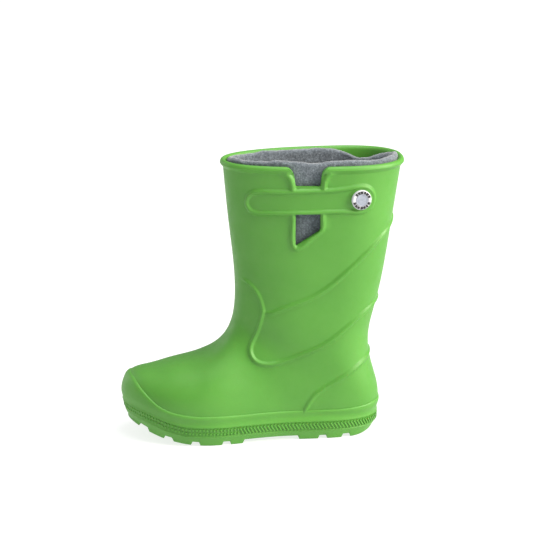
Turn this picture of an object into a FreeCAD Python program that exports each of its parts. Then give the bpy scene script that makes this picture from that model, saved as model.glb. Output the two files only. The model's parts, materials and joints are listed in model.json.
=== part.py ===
"""Child's lined rain boot, left foot: a moulded leg shell, an outsole, a removable fleece liner and a rivet.

Frame, in millimetres: -X is the toe, +X the heel, -Y the outer side of the left foot and +Z up.
The origin is on the ground, under the middle of the boot's box.
The boot's free form is one outline in side view and one in plan, crossed by a fan of section planes.
The planes stand upright along the toes, turn about a point in front of the instep and lie level up the leg.
Every shell is a loft through those sections, taken in from the outlines by its own depth.
"""

import FreeCAD, Part
import math
import os
import re
from FreeCAD import Placement, Rotation, Vector
import Sketcher

SIZES = [
    ("sole_length", 212.0, "heel back to toe tip, over the outsole"),
    ("sole_width", 86.0, "widest, across the ball"),
    ("heel_width", 66.0, "across the heel of the outsole"),
    ("shaft_height", 231.0, "ground to the top of the collar"),
    ("rim_overhang", 17.3, "how far the collar's back stands out past the heel"),
    ("rim_length", 145.6, "collar, front to back, without its bead"),
    ("rim_width", 73.5, "collar, across, without its bead"),
    ("ankle_length", 116.5, "leg, front to back, at its narrowest"),
    ("ankle_width", 69.0, "leg, across, at its narrowest"),
    ("ankle_height", 116.0, "ground to the narrowest place of the leg"),
    ("toe_box_height", 58.0, "ground to the top of the toes"),
    ("toe_spring", 12.7, "rise of the sole's underside under the toe tips"),
    ("shell_wall", 3.2, "moulded wall of the leg shell"),
    ("shell_floor", 8.0, "underside of the outsole to the underside of the leg shell"),
    ("bead_reach", 2.2, "how far the collar's bead stands out"),
    ("bead_height", 6.5, "collar bead, top to bottom"),
    ("foxing", 1.2, "outsole wall round the leg shell, at its thinnest"),
    ("sole_rise", 25.5, "ground to the top of the outsole's wall"),
    ("bumper_rise", 51.0, "ground to the top of the outsole's wall at the toe"),
    ("band_rise", 16.0, "ground to the top of the knurled band"),
    ("band_inset", 1.2, "knurled band, in from the outsole's widest outline"),
    ("tread_inset", 6.5, "tread, in from the outsole's widest outline"),
    ("lug_depth", 3.3, "depth of the grooves between the lugs"),
    ("lug_gap", 7.0, "width of the grooves between the lugs"),
    ("arch_lift", 2.0, "height of the waist of the sole off the ground"),
    ("slot_width", 20.0, "notch and window, front to back"),
    ("slot_flare", 3.5, "how much each side of the notch opens at the collar"),
    ("notch_depth", 16.3, "collar top to the strap"),
    ("slot_from_rim", 55.7, "collar front to the front edge of the notch"),
    ("strap_from_rim", 16.0, "collar front to the front end of the strap"),
    ("strap_length", 103.3, "moulded strap, end to end"),
    ("strap_width", 22.5, "moulded strap, top to bottom"),
    ("strap_raise", 0.8, "how far the strap stands out"),
    ("window_tall", 27.0, "window's front edge"),
    ("window_short", 14.0, "window's back edge"),
    ("cap_width", 16.4, "rivet cap, across"),
    ("cap_height", 2.6, "rivet cap, top to underside"),
    ("cap_round", 0.8, "chamfer round the rivet cap"),
    ("inlay_width", 11.0, "disc set in the cap"),
    ("inlay_depth", 0.7, "thickness of the disc"),
    ("inlay_clearance", 0.05, "round the disc in the cap"),
    ("shank_width", 5.0, "rivet shank, across"),
    ("shank_clearance", 0.05, "round the shank in its hole"),
    ("seat_border", 0.8, "flat seat in the strap, beyond the rivet cap"),
    ("seat_drop", 0.3, "rivet seat, below the strap's face at its middle"),
    ("cap_gap", 0.1, "cap to its seat, and washer to its own"),
    ("washer_width", 11.0, "backing washer, across"),
    ("washer_depth", 0.7, "thickness of the backing washer"),
    ("washer_gap", 0.15, "round the washer in its recess"),
    ("rivet_web", 2.2, "shell left between the rivet's seat and the washer's recess"),
    ("fleece", 3.0, "thickness of the liner"),
    ("liner_gap", 1.4, "liner to shell, all round"),
    ("liner_sole_depth", 4.5, "thickness of the liner's felt sole"),
    ("cuff_rise", 5.5, "how far the liner's rolled hem stands above the collar"),
    ("cuff_drop", 9.0, "how far the rolled hem reaches below the collar"),
    ("cuff_depth", 5.5, "thickness of the rolled hem"),
    ("waist_gap", 0.3, "liner's leg to its foot"),
]

SECTION_POINTS = 24
OUTLINE_SAMPLES = 600
NOSE_SHARE = 0.17
NOSE_STEPS = (0.06, 0.16, 0.3, 0.44, 0.58, 0.72, 0.86, 1.0)
FOOT_STEPS = (0.4, 0.8)
FAN_DEGREES = (0, 13, 26, 38, 47, 55, 63, 71, 80)
LEG_STEPS = (0.0, 0.2, 0.42, 0.66, 0.88, 1.0)
FOOT_BACK_POWER, FOOT_FRONT_POWER = 3.0, 2.2
LEG_BACK_POWER, LEG_FRONT_POWER = 2.4, 2.3
FOOT_WIDEST, LEG_WIDEST = 0.36, 0.36
GROOVES = ((0.920, 1.0), (0.830, 0.40), (0.728, 0.07), (0.609, 0.0), (0.233, 0.0), (0.141, 0.0))
ARCH = (0.546, 0.323)
CLEAR = 30.0

doc = FreeCAD.newDocument("rain_boot")
sheet = doc.addObject("Spreadsheet::Sheet", "sizes")
for row, (name, value, note) in enumerate(SIZES, start=1):
    sheet.set(f"A{row}", name)
    sheet.set(f"B{row}", str(value))
    sheet.set(f"C{row}", note)
    sheet.setAlias(f"B{row}", name)
doc.recompute()
NAMES = {name for name, value, note in SIZES}


def size(name):
    """One driving dimension, read from the sheet."""
    return float(getattr(sheet, name))


def bound(words):
    """An expression over the sheet's names, as the document spells it."""
    return re.sub(r"[a-z_]+", lambda found: f"sizes.{found[0]}" if found[0] in NAMES else found[0], words)


def value_of(words):
    """What an expression over the sheet's names comes to."""
    return float(sheet.evalExpression(bound(words)))


def check(condition, message):
    """Stops the build with a plain message."""
    if not condition:
        raise RuntimeError(message)


def between(a, b, share):
    """The number at a share of the way from a to b."""
    return a + (b - a) * share


def eased(a, b, share):
    """Eases from a to b as share goes from 0 to 1."""
    share = min(1.0, max(0.0, share))
    return between(a, b, share * share * (3 - 2 * share))


HEEL = "(sole_length - rim_overhang - bead_reach) / 2"
RIM_FRONT = f"({HEEL} + rim_overhang - rim_length)"
STRAP_TOP = "(shaft_height - notch_depth)"
STRAP_BOTTOM = f"({STRAP_TOP} - strap_width)"
STRAP_FRONT = f"({RIM_FRONT} + strap_from_rim)"
SLOT_FRONT = f"({RIM_FRONT} + slot_from_rim)"

LENGTH = size("sole_length")
HEEL_X = value_of(HEEL)
TOE_X = HEEL_X - LENGTH
RIM_BACK_X = HEEL_X + size("rim_overhang")
RIM_FRONT_X = value_of(RIM_FRONT)
TOP = size("shaft_height")
ANKLE_Z = size("ankle_height")
ANKLE_BACK_X = HEEL_X - 0.01 * LENGTH
ANKLE_FRONT_X = ANKLE_BACK_X - size("ankle_length")
FLOOR = size("shell_floor")
SPRING = size("toe_spring")
WALL = size("shell_wall")
PIVOT = (ANKLE_FRONT_X - 0.12 * LENGTH, ANKLE_Z)


def along(share):
    """X at a share of the sole's length, counted from the heel."""
    return HEEL_X - share * LENGTH


def up_leg(share):
    """Z at a share of the leg's height above its narrowest place."""
    return between(ANKLE_Z, TOP, share)


# --- Outlines ------------------------------------------------------------------------------------------

UNDERSIDE = ((0.60, 0.0), (0.66, 0.0), (0.745, 0.10), (0.83, 0.40), (0.92, 1.0))


def side_points():
    """The leg shell's outline in side view: down its front, round the toe, under the foot and up the back."""
    toe_top = size("toe_box_height")
    tip = TOE_X + size("foxing")
    heel = HEEL_X - size("foxing")
    nose = along(0.92)
    above = TOP + 2 * size("cuff_rise") + size("bead_height")
    climb = (above - TOP) / (TOP - ANKLE_Z)
    instep = [
        (RIM_FRONT_X + climb * (RIM_FRONT_X - ANKLE_FRONT_X), above),
        (RIM_FRONT_X, TOP),
        (between(ANKLE_FRONT_X, RIM_FRONT_X, 0.44), up_leg(0.5)),
        (ANKLE_FRONT_X, ANKLE_Z),
        (along(0.583), between(toe_top, ANKLE_Z, 0.56)),
        (along(0.64), between(toe_top, ANKLE_Z, 0.30)),
        (along(0.71), between(toe_top, ANKLE_Z, 0.165)),
        (along(0.80), between(toe_top, ANKLE_Z, 0.08)),
        (along(0.89), toe_top - 0.5),
        (between(tip, nose, 0.34), between(FLOOR + SPRING, toe_top, 0.83)),
        (between(tip, nose, 0.05), between(FLOOR + SPRING, toe_top, 0.58)),
        (tip, between(FLOOR + SPRING, toe_top, 0.36)),
        (between(tip, nose, 0.33), FLOOR + 1.36 * SPRING),
    ]
    bottom = [(along(share), FLOOR + rise * SPRING) for share, rise in reversed(UNDERSIDE)]
    back = [
        (along(0.30), FLOOR),
        (along(0.12), FLOOR),
        (along(0.043), between(FLOOR, ANKLE_Z, 0.035)),
        (heel, between(FLOOR, ANKLE_Z, 0.16)),
        (heel - 0.023 * LENGTH, between(FLOOR, ANKLE_Z, 0.45)),
        (heel - 0.037 * LENGTH, between(FLOOR, ANKLE_Z, 0.70)),
        (ANKLE_BACK_X - 0.006 * LENGTH, between(FLOOR, ANKLE_Z, 0.94)),
        (between(ANKLE_BACK_X, RIM_BACK_X, 0.50), up_leg(0.45)),
        (RIM_BACK_X, TOP),
        (RIM_BACK_X + climb * (RIM_BACK_X - ANKLE_BACK_X), above),
    ]
    return instep + bottom + back


def plan_points():
    """The outsole's widest outline from above, from the back of the heel along the outer side and round."""
    ball = size("sole_width") / 2
    heel = size("heel_width") / 2
    return [
        (along(0.0), 0.0),
        (along(0.045), -0.68 * heel),
        (along(0.16), -0.99 * heel),
        (along(0.40), -0.80 * ball),
        (along(0.67), -ball),
        (along(0.85), -0.83 * ball),
        (along(0.965), -0.36 * ball),
        (along(1.0), 0.12 * ball),
        (along(0.965), 0.60 * ball),
        (along(0.87), 0.88 * ball),
        (along(0.72), ball),
        (along(0.44), 0.68 * ball),
        (along(0.17), 0.97 * heel),
        (along(0.045), 0.68 * heel),
    ]


def sampled(points, closed):
    """Samples of the smooth curve through the points, evenly by parameter."""
    curve = Part.BSplineCurve()
    curve.interpolate([Vector(x, y, 0) for x, y in points], PeriodicFlag=closed)
    first, last = curve.FirstParameter, curve.LastParameter
    steps = OUTLINE_SAMPLES if closed else OUTLINE_SAMPLES - 1
    found = [curve.value(between(first, last, i / steps)) for i in range(OUTLINE_SAMPLES)]
    return [(spot.x, spot.y) for spot in found]


def moved_right(samples, depth, closed):
    """The sampled outline, moved by depth to the right of its own direction."""
    moved = []
    count = len(samples)
    for i, (x, y) in enumerate(samples):
        before = samples[i - 1] if closed or i else samples[0]
        after = samples[(i + 1) % count] if closed or i < count - 1 else samples[-1]
        run, rise = after[0] - before[0], after[1] - before[1]
        length = math.hypot(run, rise)
        moved.append((x + depth * rise / length, y - depth * run / length))
    return moved


def crossings(samples, origin, direction, closed):
    """How far along the line from origin the sampled outline crosses it, in order."""
    side = [(y - origin[1]) * direction[0] - (x - origin[0]) * direction[1] for x, y in samples]
    pairs = [(i, i + 1) for i in range(len(samples) - 1)]
    if closed:
        pairs.append((len(samples) - 1, 0))
    found = []
    for i, j in pairs:
        if (side[i] < 0) != (side[j] < 0):
            share = side[i] / (side[i] - side[j])
            x = between(samples[i][0], samples[j][0], share)
            y = between(samples[i][1], samples[j][1], share)
            found.append((x - origin[0]) * direction[0] + (y - origin[1]) * direction[1])
    return sorted(found)


SIDE = sampled(side_points(), False)
PLAN = sampled(plan_points(), True)


# --- The fan of sections -------------------------------------------------------------------------------


def solid_of(shape):
    """The one solid of a shape, facing outwards."""
    check(len(shape.Solids) == 1, "a surface closed into something other than one solid")
    made = shape.Solids[0]
    if made.Volume < 0:
        made.reverse()
    check(made.isValid(), "a surface closed into a solid that isn't valid")
    return made


def ring(points):
    """A closed smooth curve through points that are evenly spaced in parameter."""
    curve = Part.BSplineCurve()
    curve.interpolate(points, PeriodicFlag=True, Parameters=[float(i) for i in range(len(points) + 1)])
    return curve


def skin(sections):
    """A solid whose side runs smoothly through closed sections and whose two ends are flat."""
    rings = [ring(points) for points in sections]
    columns = list(zip(*[curve.getPoles() for curve in rings]))
    spacing = [0.0]
    for before, after in zip(sections, sections[1:]):
        steps = [(q - p).Length for p, q in zip(before, after)]
        spacing.append(spacing[-1] + sum(steps) / len(steps))
    poles = []
    for column in columns:
        rail = Part.BSplineCurve()
        rail.interpolate(list(column), Parameters=spacing)
        poles.append(rail.getPoles())
    surface = Part.BSplineSurface()
    surface.buildFromPolesMultsKnots(poles, rings[0].getMultiplicities(), rail.getMultiplicities(),
                                     rings[0].getKnots(), rail.getKnots(), True, False,
                                     rings[0].Degree, rail.Degree)
    side = surface.toShape()
    ends = [edge for edge in side.Edges if edge.isClosed()]
    caps = [Part.Face(Part.Wire([edge])) for edge in ends]
    shell = Part.makeShell([side] + caps)
    shell.sewShape()
    return solid_of(Part.makeSolid(Part.Shell(shell.Faces)))


class Form:
    """The boot's form, taken in from the leg shell's outside by depth."""

    def __init__(self, depth):
        self.depth = depth
        self.side = moved_right(SIDE, -depth, False)
        self.plan = moved_right(PLAN, size("foxing") + depth, True)
        self.tip = min(x for x, z in self.side)
        self.plan_tip = min(x for x, y in self.plan)
        self.nose = NOSE_SHARE * LENGTH

    def plan_at(self, x):
        """The outer and inner edge of the foot in plan, at x."""
        fade = max(0.0, 1 - (x - self.tip) / self.nose)
        found = crossings(self.plan, (x + fade * (self.plan_tip - self.tip), 0.0), (0.0, 1.0), True)
        return found[0], found[-1]

    def planes(self, top):
        """Each plane as its origin, its direction towards the front of the boot and its share of the turn."""
        made = []
        for step in NOSE_STEPS:
            made.append(((self.tip + self.nose * (1 - math.cos(step * math.pi / 2)), 0.0), (0.0, 1.0), 0.0))
        for step in FOOT_STEPS:
            made.append(((between(self.tip + self.nose, PIVOT[0], step), 0.0), (0.0, 1.0), 0.0))
        for degrees in FAN_DEGREES:
            turn = math.radians(degrees)
            made.append((PIVOT, (-math.sin(turn), math.cos(turn)), degrees / 90.0))
        for step in LEG_STEPS:
            made.append(((0.0, between(ANKLE_Z, top, step)), (-1.0, 0.0), 1.0))
        return made

    def section(self, origin, direction, turned):
        """The points of one closed section, from the front of the boot round by its inner side."""
        hits = crossings(self.side, origin, direction, False)
        if 0.0 < turned < 1.0:
            hits = [hit for hit in hits if hit < 0]
        low = Vector(origin[0] + hits[0] * direction[0], 0, origin[1] + hits[0] * direction[1])
        high = Vector(origin[0] + hits[-1] * direction[0], 0, origin[1] + hits[-1] * direction[1])
        widest = low + (high - low) * eased(FOOT_WIDEST, LEG_WIDEST, turned)
        outer, inner = self.plan_at(min(widest.x, along(0.16)))
        leg_share = max(0.0, (widest.z - ANKLE_Z) / (TOP - ANKLE_Z))
        leg_half = between(size("ankle_width"), size("rim_width"), leg_share) / 2 - self.depth
        half = eased((inner - outer) / 2, leg_half, turned)
        middle = eased((inner + outer) / 2, 0.0, turned * 1.4)
        back_power = eased(FOOT_BACK_POWER, LEG_BACK_POWER, turned)
        front_power = eased(FOOT_FRONT_POWER, LEG_FRONT_POWER, turned)
        points = []
        for i in range(SECTION_POINTS):
            angle = 2 * math.pi * i / SECTION_POINTS
            run, reach = math.cos(angle), math.sin(angle)
            power = front_power if run > 0 else back_power
            arm = (high - widest) if run > 0 else (low - widest)
            spot = widest + arm * abs(run) ** (2 / power)
            spot.y = middle + math.copysign(half * abs(reach) ** (2 / power), reach)
            points.append(spot)
        return points

    def whole(self, top):
        """The form as one closed solid, from the toe's tip up to the level top."""
        return skin([self.section(*plane) for plane in self.planes(top)])

    def level(self, z):
        """The level section of the leg at height z."""
        return self.section((0.0, z), (-1.0, 0.0), 1.0)


# --- Small makers --------------------------------------------------------------------------------------


def feature(name, shape):
    """A free-form piece, whose shape the code works out from the sheet."""
    made = doc.addObject("Part::Feature", name)
    made.Shape = shape
    made.Placement = Placement()
    return made


def cut(name, base, tool):
    """base with tool taken away."""
    made = doc.addObject("Part::Cut", name)
    made.Base, made.Tool = base, tool
    return made


def common(name, base, tool):
    """What base and tool share."""
    made = doc.addObject("Part::Common", name)
    made.Base, made.Tool = base, tool
    return made


def fused(name, shapes):
    """Several shapes made one."""
    made = doc.addObject("Part::MultiFuse", name)
    made.Shapes = shapes
    return made


def block(name, x, y, z, length, width, height):
    """A box bound to the sheet: its low corner and its sides along X, Y and Z."""
    made = doc.addObject("Part::Box", name)
    made.setExpression("Placement.Base.x", bound(x))
    made.setExpression("Placement.Base.y", bound(y))
    made.setExpression("Placement.Base.z", bound(z))
    made.setExpression("Length", bound(length))
    made.setExpression("Width", bound(width))
    made.setExpression("Height", bound(height))
    return made


def rod(name, radius, height, placement):
    """A cylinder bound to the sheet, at a placement."""
    made = doc.addObject("Part::Cylinder", name)
    made.setExpression("Radius", bound(radius))
    made.setExpression("Height", bound(height))
    made.Placement = placement
    return made


def corners(sketch, spots):
    """Draws a closed run of straight lines in the sketch and binds every corner to the sheet."""
    values = [(value_of(across), value_of(upward)) for across, upward in spots]
    count = len(spots)
    for i in range(count):
        start, end = values[i], values[(i + 1) % count]
        sketch.addGeometry(Part.LineSegment(Vector(*start, 0), Vector(*end, 0)), False)
    for i in range(count):
        sketch.addConstraint(Sketcher.Constraint("Coincident", i, 2, (i + 1) % count, 1))
    for i, spot in enumerate(spots):
        for axis, kind in enumerate(("DistanceX", "DistanceY")):
            at = sketch.addConstraint(Sketcher.Constraint(kind, -1, 1, i, 1, values[i][axis]))
            sketch.renameConstraint(at, f"corner{i}_{'xy'[axis]}")
            sketch.setExpression(f"Constraints.corner{i}_{'xy'[axis]}", bound(spot[axis]))


def outer_side_prism(name, spots):
    """A prism from the boot's middle plane out past its outer side, over corners in side view."""
    sketch = doc.addObject("Sketcher::SketchObject", f"{name}_outline")
    sketch.Placement = Placement(Vector(0, 0, 0), Rotation(Vector(1, 0, 0), 90))
    corners(sketch, spots)
    made = doc.addObject("Part::Extrusion", name)
    made.Base = sketch
    made.DirMode = "Custom"
    made.Dir = Vector(0, -1, 0)
    made.Solid = True
    made.setExpression("LengthFwd", bound("sole_width"))
    return made


def under(points):
    """Everything below a smooth line in side view, right across the boot."""
    curve = Part.BSplineCurve()
    curve.interpolate([Vector(x, 0, z) for x, z in points])
    low = -CLEAR
    first, last = curve.StartPoint, curve.EndPoint
    legs = [last, Vector(last.x, 0, low), Vector(first.x, 0, low), first]
    wire = Part.Wire([curve.toShape()] + Part.makePolygon(legs).Edges)
    face = Part.Face(wire)
    face.translate(Vector(0, -size("sole_width"), 0))
    return solid_of(face.extrude(Vector(0, 2 * size("sole_width"), 0)))


# --- Leg shell -----------------------------------------------------------------------------------------


def bead_ring():
    """The collar's bead: a rounded band round the top of the leg, still solid in the middle."""
    profile = ((0.0, 0.04), (0.18, 0.72), (0.5, 1.0), (0.82, 0.72), (1.0, 0.1))
    bottom = TOP - size("bead_height")
    levels = [(between(bottom, TOP, rise), size("bead_reach") * reach) for rise, reach in profile]
    return skin([Form(-reach).level(z) for z, reach in levels])


outer_form = feature("outer_form", Form(0.0).whole(TOP))
cavity_form = feature("cavity_form", Form(WALL).whole(TOP + size("cuff_rise")))
collar_bead = feature("collar_bead", bead_ring())
strap_form = feature("strap_form", Form(-size("strap_raise")).whole(TOP))

HALF_STRAP = "strap_width / 2"
STRAP_ENDS = (f"{STRAP_FRONT} + {HALF_STRAP}", f"{STRAP_FRONT} + strap_length - {HALF_STRAP}")
strap_middle = block("strap_middle", STRAP_ENDS[0], "-sole_width", STRAP_BOTTOM,
                     "strap_length - strap_width", "sole_width", "strap_width")
strap_rounds = []
for number, x in enumerate(STRAP_ENDS):
    across = Placement(Vector(0, 0, 0), Rotation(Vector(1, 0, 0), 90))
    end = rod(f"strap_end_{number}", HALF_STRAP, "sole_width", across)
    end.setExpression("Placement.Base.x", bound(x))
    end.setExpression("Placement.Base.z", bound(f"{STRAP_BOTTOM} + {HALF_STRAP}"))
    strap_rounds.append(end)
strap_outline = fused("strap_outline", [strap_middle] + strap_rounds)
strap = common("strap", strap_form, strap_outline)

notch = outer_side_prism("notch", [
    (SLOT_FRONT, STRAP_TOP),
    (f"{SLOT_FRONT} + slot_width", STRAP_TOP),
    (f"{SLOT_FRONT} + slot_width", "shaft_height - bead_height"),
    (f"{SLOT_FRONT} + slot_width + slot_flare", "shaft_height + bead_height"),
    (f"{SLOT_FRONT} - slot_flare", "shaft_height + bead_height"),
    (SLOT_FRONT, "shaft_height - bead_height"),
])
window = outer_side_prism("window", [
    (SLOT_FRONT, f"{STRAP_BOTTOM} - window_tall"),
    (f"{SLOT_FRONT} + slot_width", f"{STRAP_BOTTOM} - window_short"),
    (f"{SLOT_FRONT} + slot_width", STRAP_BOTTOM),
    (SLOT_FRONT, STRAP_BOTTOM),
])
doc.recompute()


# --- Rivet ---------------------------------------------------------------------------------------------


def rivet_frame():
    """Where the rivet sits: on the strap's face, at the middle of its back end, with Z outwards."""
    x, z = value_of(STRAP_ENDS[1]), value_of(f"{STRAP_BOTTOM} + {HALF_STRAP}")
    probe = Part.makeLine(Vector(x, -size("sole_width"), z), Vector(x, 0, z))
    spots = [vertex.Point for vertex in strap_form.Shape.common(probe).Vertexes]
    spot = min(spots, key=lambda point: point.y)
    side = min(strap_form.Shape.Faces, key=lambda face: face.distToShape(Part.Vertex(spot))[0])
    outward = side.normalAt(*side.Surface.parameter(spot))
    return Placement(spot, Rotation(Vector(0, 0, 1), outward))


def at_depth(depth):
    """The rivet's frame, moved inwards along its axis."""
    return RIVET.multiply(Placement(Vector(0, 0, -depth), Rotation()))


RIVET = rivet_frame()
SEAT = size("seat_drop")
RECESS = SEAT + size("rivet_web")
rivet_seat = rod("rivet_seat", "cap_width / 2 + seat_border", "strap_raise + bead_reach", at_depth(SEAT))
rivet_hole = rod("rivet_hole", "shank_width / 2 + shank_clearance", "4 * shell_wall",
                 at_depth(3 * size("shell_wall")))
washer_recess = rod("washer_recess", "washer_width / 2 + washer_gap", "shell_wall + strap_raise",
                    at_depth(RECESS + size("shell_wall") + size("strap_raise")))

shell_block = fused("shell_block", [outer_form, collar_bead, strap])
shell_cuts = fused("shell_cuts", [notch, window, rivet_seat, rivet_hole, washer_recess])
shell_hollow = cut("shell_hollow", shell_block, cavity_form)
upper_shell = cut("upper_shell", shell_hollow, shell_cuts)

rivet_cap = doc.addObject("PartDesign::Body", "rivet_cap")
cap_sketch = rivet_cap.newObject("Sketcher::SketchObject", "cap_half_section")
side_plane = [plane for plane in rivet_cap.Origin.OriginFeatures if plane.Role == "XZ_Plane"][0]
cap_sketch.AttachmentSupport = [(side_plane, "")]
cap_sketch.MapMode = "FlatFace"
SHANK_END = "0 - rivet_web - cap_gap - washer_depth"
corners(cap_sketch, [
    ("0", SHANK_END),
    ("shank_width / 2", SHANK_END),
    ("shank_width / 2", "cap_gap"),
    ("cap_width / 2", "cap_gap"),
    ("cap_width / 2", "cap_gap + cap_height - cap_round"),
    ("cap_width / 2 - cap_round", "cap_gap + cap_height"),
    ("inlay_width / 2 + inlay_clearance", "cap_gap + cap_height"),
    ("inlay_width / 2 + inlay_clearance", "cap_gap + cap_height - inlay_depth"),
    ("0", "cap_gap + cap_height - inlay_depth"),
])
cap_turned = rivet_cap.newObject("PartDesign::Revolution", "cap_turned")
cap_turned.Profile = cap_sketch
cap_turned.ReferenceAxis = (cap_sketch, ["V_Axis"])
cap_turned.Angle = 360
rivet_cap.Placement = at_depth(SEAT)

INLAY_HEIGHT = size("cap_gap") + size("cap_height") - size("inlay_depth")
rivet_inlay = rod("rivet_inlay", "inlay_width / 2", "inlay_depth", at_depth(SEAT - INLAY_HEIGHT))

washer_at = at_depth(RECESS + size("cap_gap") + size("washer_depth"))
washer_disc = rod("washer_disc", "washer_width / 2", "washer_depth", washer_at)
washer_bore = rod("washer_bore", "shank_width / 2", "washer_depth", washer_at)
rivet_washer = cut("rivet_washer", washer_disc, washer_bore)


# --- Outsole -------------------------------------------------------------------------------------------


def plan_ring(inset, z):
    """Points on the outsole's outline in plan, taken in by inset, at height z."""
    taken = moved_right(PLAN, inset, True)
    step = len(taken) // (2 * SECTION_POINTS)
    return [Vector(x, y, z) for x, y in taken[::step]]


def tread_block():
    """The sole's block: the outline in plan, leaning in towards the tread."""
    top = size("band_rise") + 1.3 * SPRING
    inset = size("band_inset")
    return skin([
        plan_ring(size("tread_inset"), 0.0),
        plan_ring(between(size("tread_inset"), inset, 0.6), size("band_rise") / 2),
        plan_ring(inset, size("band_rise")),
        plan_ring(inset, top),
    ])


def wall_top():
    """The top edge of the outsole's wall in side view: level, then up over the toe."""
    rise = size("sole_rise")
    climb = size("bumper_rise") - rise
    steps = ((-0.1, 0.0), (0.2, 0.0), (0.5, 0.0), (0.70, 0.02), (0.80, 0.11), (0.857, 0.26), (0.896, 0.48),
             (0.934, 0.77), (0.962, 1.0), (1.03, 1.3))
    return [(along(share), rise + part * climb) for share, part in steps]


def band_top():
    """The top edge of the knurled band in side view."""
    steps = ((-0.1, 0.0), (0.2, 0.0), (0.6, 0.0), (0.75, 0.08), (0.83, 0.35), (0.892, 0.71), (0.948, 0.94),
             (1.03, 1.2))
    return [(along(share), size("band_rise") + part * SPRING) for share, part in steps]


def underside():
    """What trims the tread in side view: a rounded heel, just below the flat tread, then the toe spring."""
    heel = [(along(-0.05), FLOOR), (along(0.03), 0.45 * FLOOR), (along(0.09), 0.06 * FLOOR)]
    level = [(along(share), -0.08 * SPRING) for share in (0.17, 0.3, 0.45, 0.58)]
    toe = [(along(share), rise * SPRING) for share, rise in UNDERSIDE[1:]]
    return heel + level + toe + [(along(1.03), 2.0 * SPRING)]


wall_form = feature("wall_form", Form(-size("foxing")).whole(TOP))
sole_wall = common("sole_wall", wall_form, feature("under_wall_top", under(wall_top())))
under_band = feature("under_band_top", under(band_top()))
sole_block = common("sole_block", feature("tread_block", tread_block()), under_band)
sole_solid = fused("sole_solid", [sole_wall, sole_block])

ALONG = f"{HEEL} - %s * sole_length"
grooves = []
for number, (share, rise) in enumerate(GROOVES):
    grooves.append(block(f"groove_{number}", f"{ALONG % share} - lug_gap / 2", "0 - sole_width", "0 - lug_depth",
                         "lug_gap", "2 * sole_width", f"2 * lug_depth + {rise} * toe_spring"))
grooves.append(block("arch_recess", ALONG % ARCH[0], "0 - sole_width", "0 - lug_depth",
                     f"{ARCH[0] - ARCH[1]} * sole_length", "2 * sole_width", "lug_depth + arch_lift"))
below_sole = feature("below_sole", under(underside()))
sole_cuts = fused("sole_cuts", [below_sole] + grooves)
sole_trimmed = cut("sole_trimmed", sole_solid, outer_form)
outsole = cut("outsole", sole_trimmed, sole_cuts)


# --- Liner ---------------------------------------------------------------------------------------------


def slab(name, low, high):
    """Everything between two heights, right across the boot."""
    return block(name, "0 - sole_length", "0 - sole_width", low, "2 * sole_length", "2 * sole_width",
                 f"{high} - ({low})")


def bed_line(height):
    """A line in side view, height above the leg shell's underside."""
    toe = [(along(share), FLOOR + height + rise * SPRING) for share, rise in UNDERSIDE]
    level = [(along(share), FLOOR + height) for share in (-0.1, 0.2, 0.4)]
    return level + toe + [(along(1.03), FLOOR + height + 1.9 * SPRING)]


LINER_OUT = WALL + size("liner_gap")
CUFF_TOP = TOP + size("cuff_rise")
liner_form = feature("liner_form", Form(LINER_OUT).whole(CUFF_TOP))
liner_hollow = feature("liner_hollow", Form(LINER_OUT + size("fleece")).whole(CUFF_TOP + size("cuff_rise")))
cuff_hollow = feature("cuff_hollow", Form(LINER_OUT + size("cuff_depth")).whole(CUFF_TOP + size("cuff_rise")))
below_bed = feature("below_bed", under(bed_line(LINER_OUT + size("liner_sole_depth"))))

leg_slab = slab("leg_slab", "ankle_height", "shaft_height - cuff_drop")
cuff_slab = slab("cuff_slab", "shaft_height - cuff_drop", "shaft_height + cuff_rise")
foot_slab = slab("foot_slab", "0", "ankle_height - waist_gap")

liner_tube = cut("liner_tube", liner_form, liner_hollow)
liner_leg = common("liner_leg", liner_tube, leg_slab)
cuff_tube = cut("cuff_tube", liner_form, cuff_hollow)
liner_cuff = common("liner_cuff", cuff_tube, cuff_slab)
foot_tube = common("foot_tube", liner_tube, foot_slab)
liner_foot = cut("liner_foot", foot_tube, below_bed)
liner_sole = common("liner_sole", liner_form, below_bed)


# --- Check and write -----------------------------------------------------------------------------------

NODES = [upper_shell, outsole, liner_leg, liner_cuff, liner_foot, liner_sole, rivet_cap, rivet_inlay,
         rivet_washer]

doc.recompute()
for item in doc.Objects:
    bad = {"Invalid", "Error"} & set(item.State)
    check(not bad, f"{item.Name} didn't recompute")
for node in NODES:
    node.Label = node.Name
    check(not node.Shape.isNull() and node.Shape.isValid(), f"{node.Label} has no valid shape")
    check(len(node.Shape.Solids) == 1, f"{node.Label} isn't one solid")

os.makedirs("parts", exist_ok=True)
for node in NODES:
    node.Shape.exportStep(f"parts/{node.Label}.step")
    box = node.Shape.BoundBox
    print(f"{node.Label}: {node.Shape.Volume:.0f} mm3, X {box.XMin:.1f} {box.XMax:.1f}, "
          f"Y {box.YMin:.1f} {box.YMax:.1f}, Z {box.ZMin:.1f} {box.ZMax:.1f}")
outward = RIVET.Rotation.multVec(Vector(0, 0, 1))
print("rivet at", [round(c, 3) for c in RIVET.Base], "facing", [round(c, 4) for c in outward])
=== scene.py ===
import json
import logging
import math
from collections.abc import Callable, Iterator, Sequence
from dataclasses import dataclass, field
from enum import Enum

import bmesh
import bpy
import numpy as np
from mathutils import Matrix, Vector, noise
from mathutils.bvhtree import BVHTree

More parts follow.
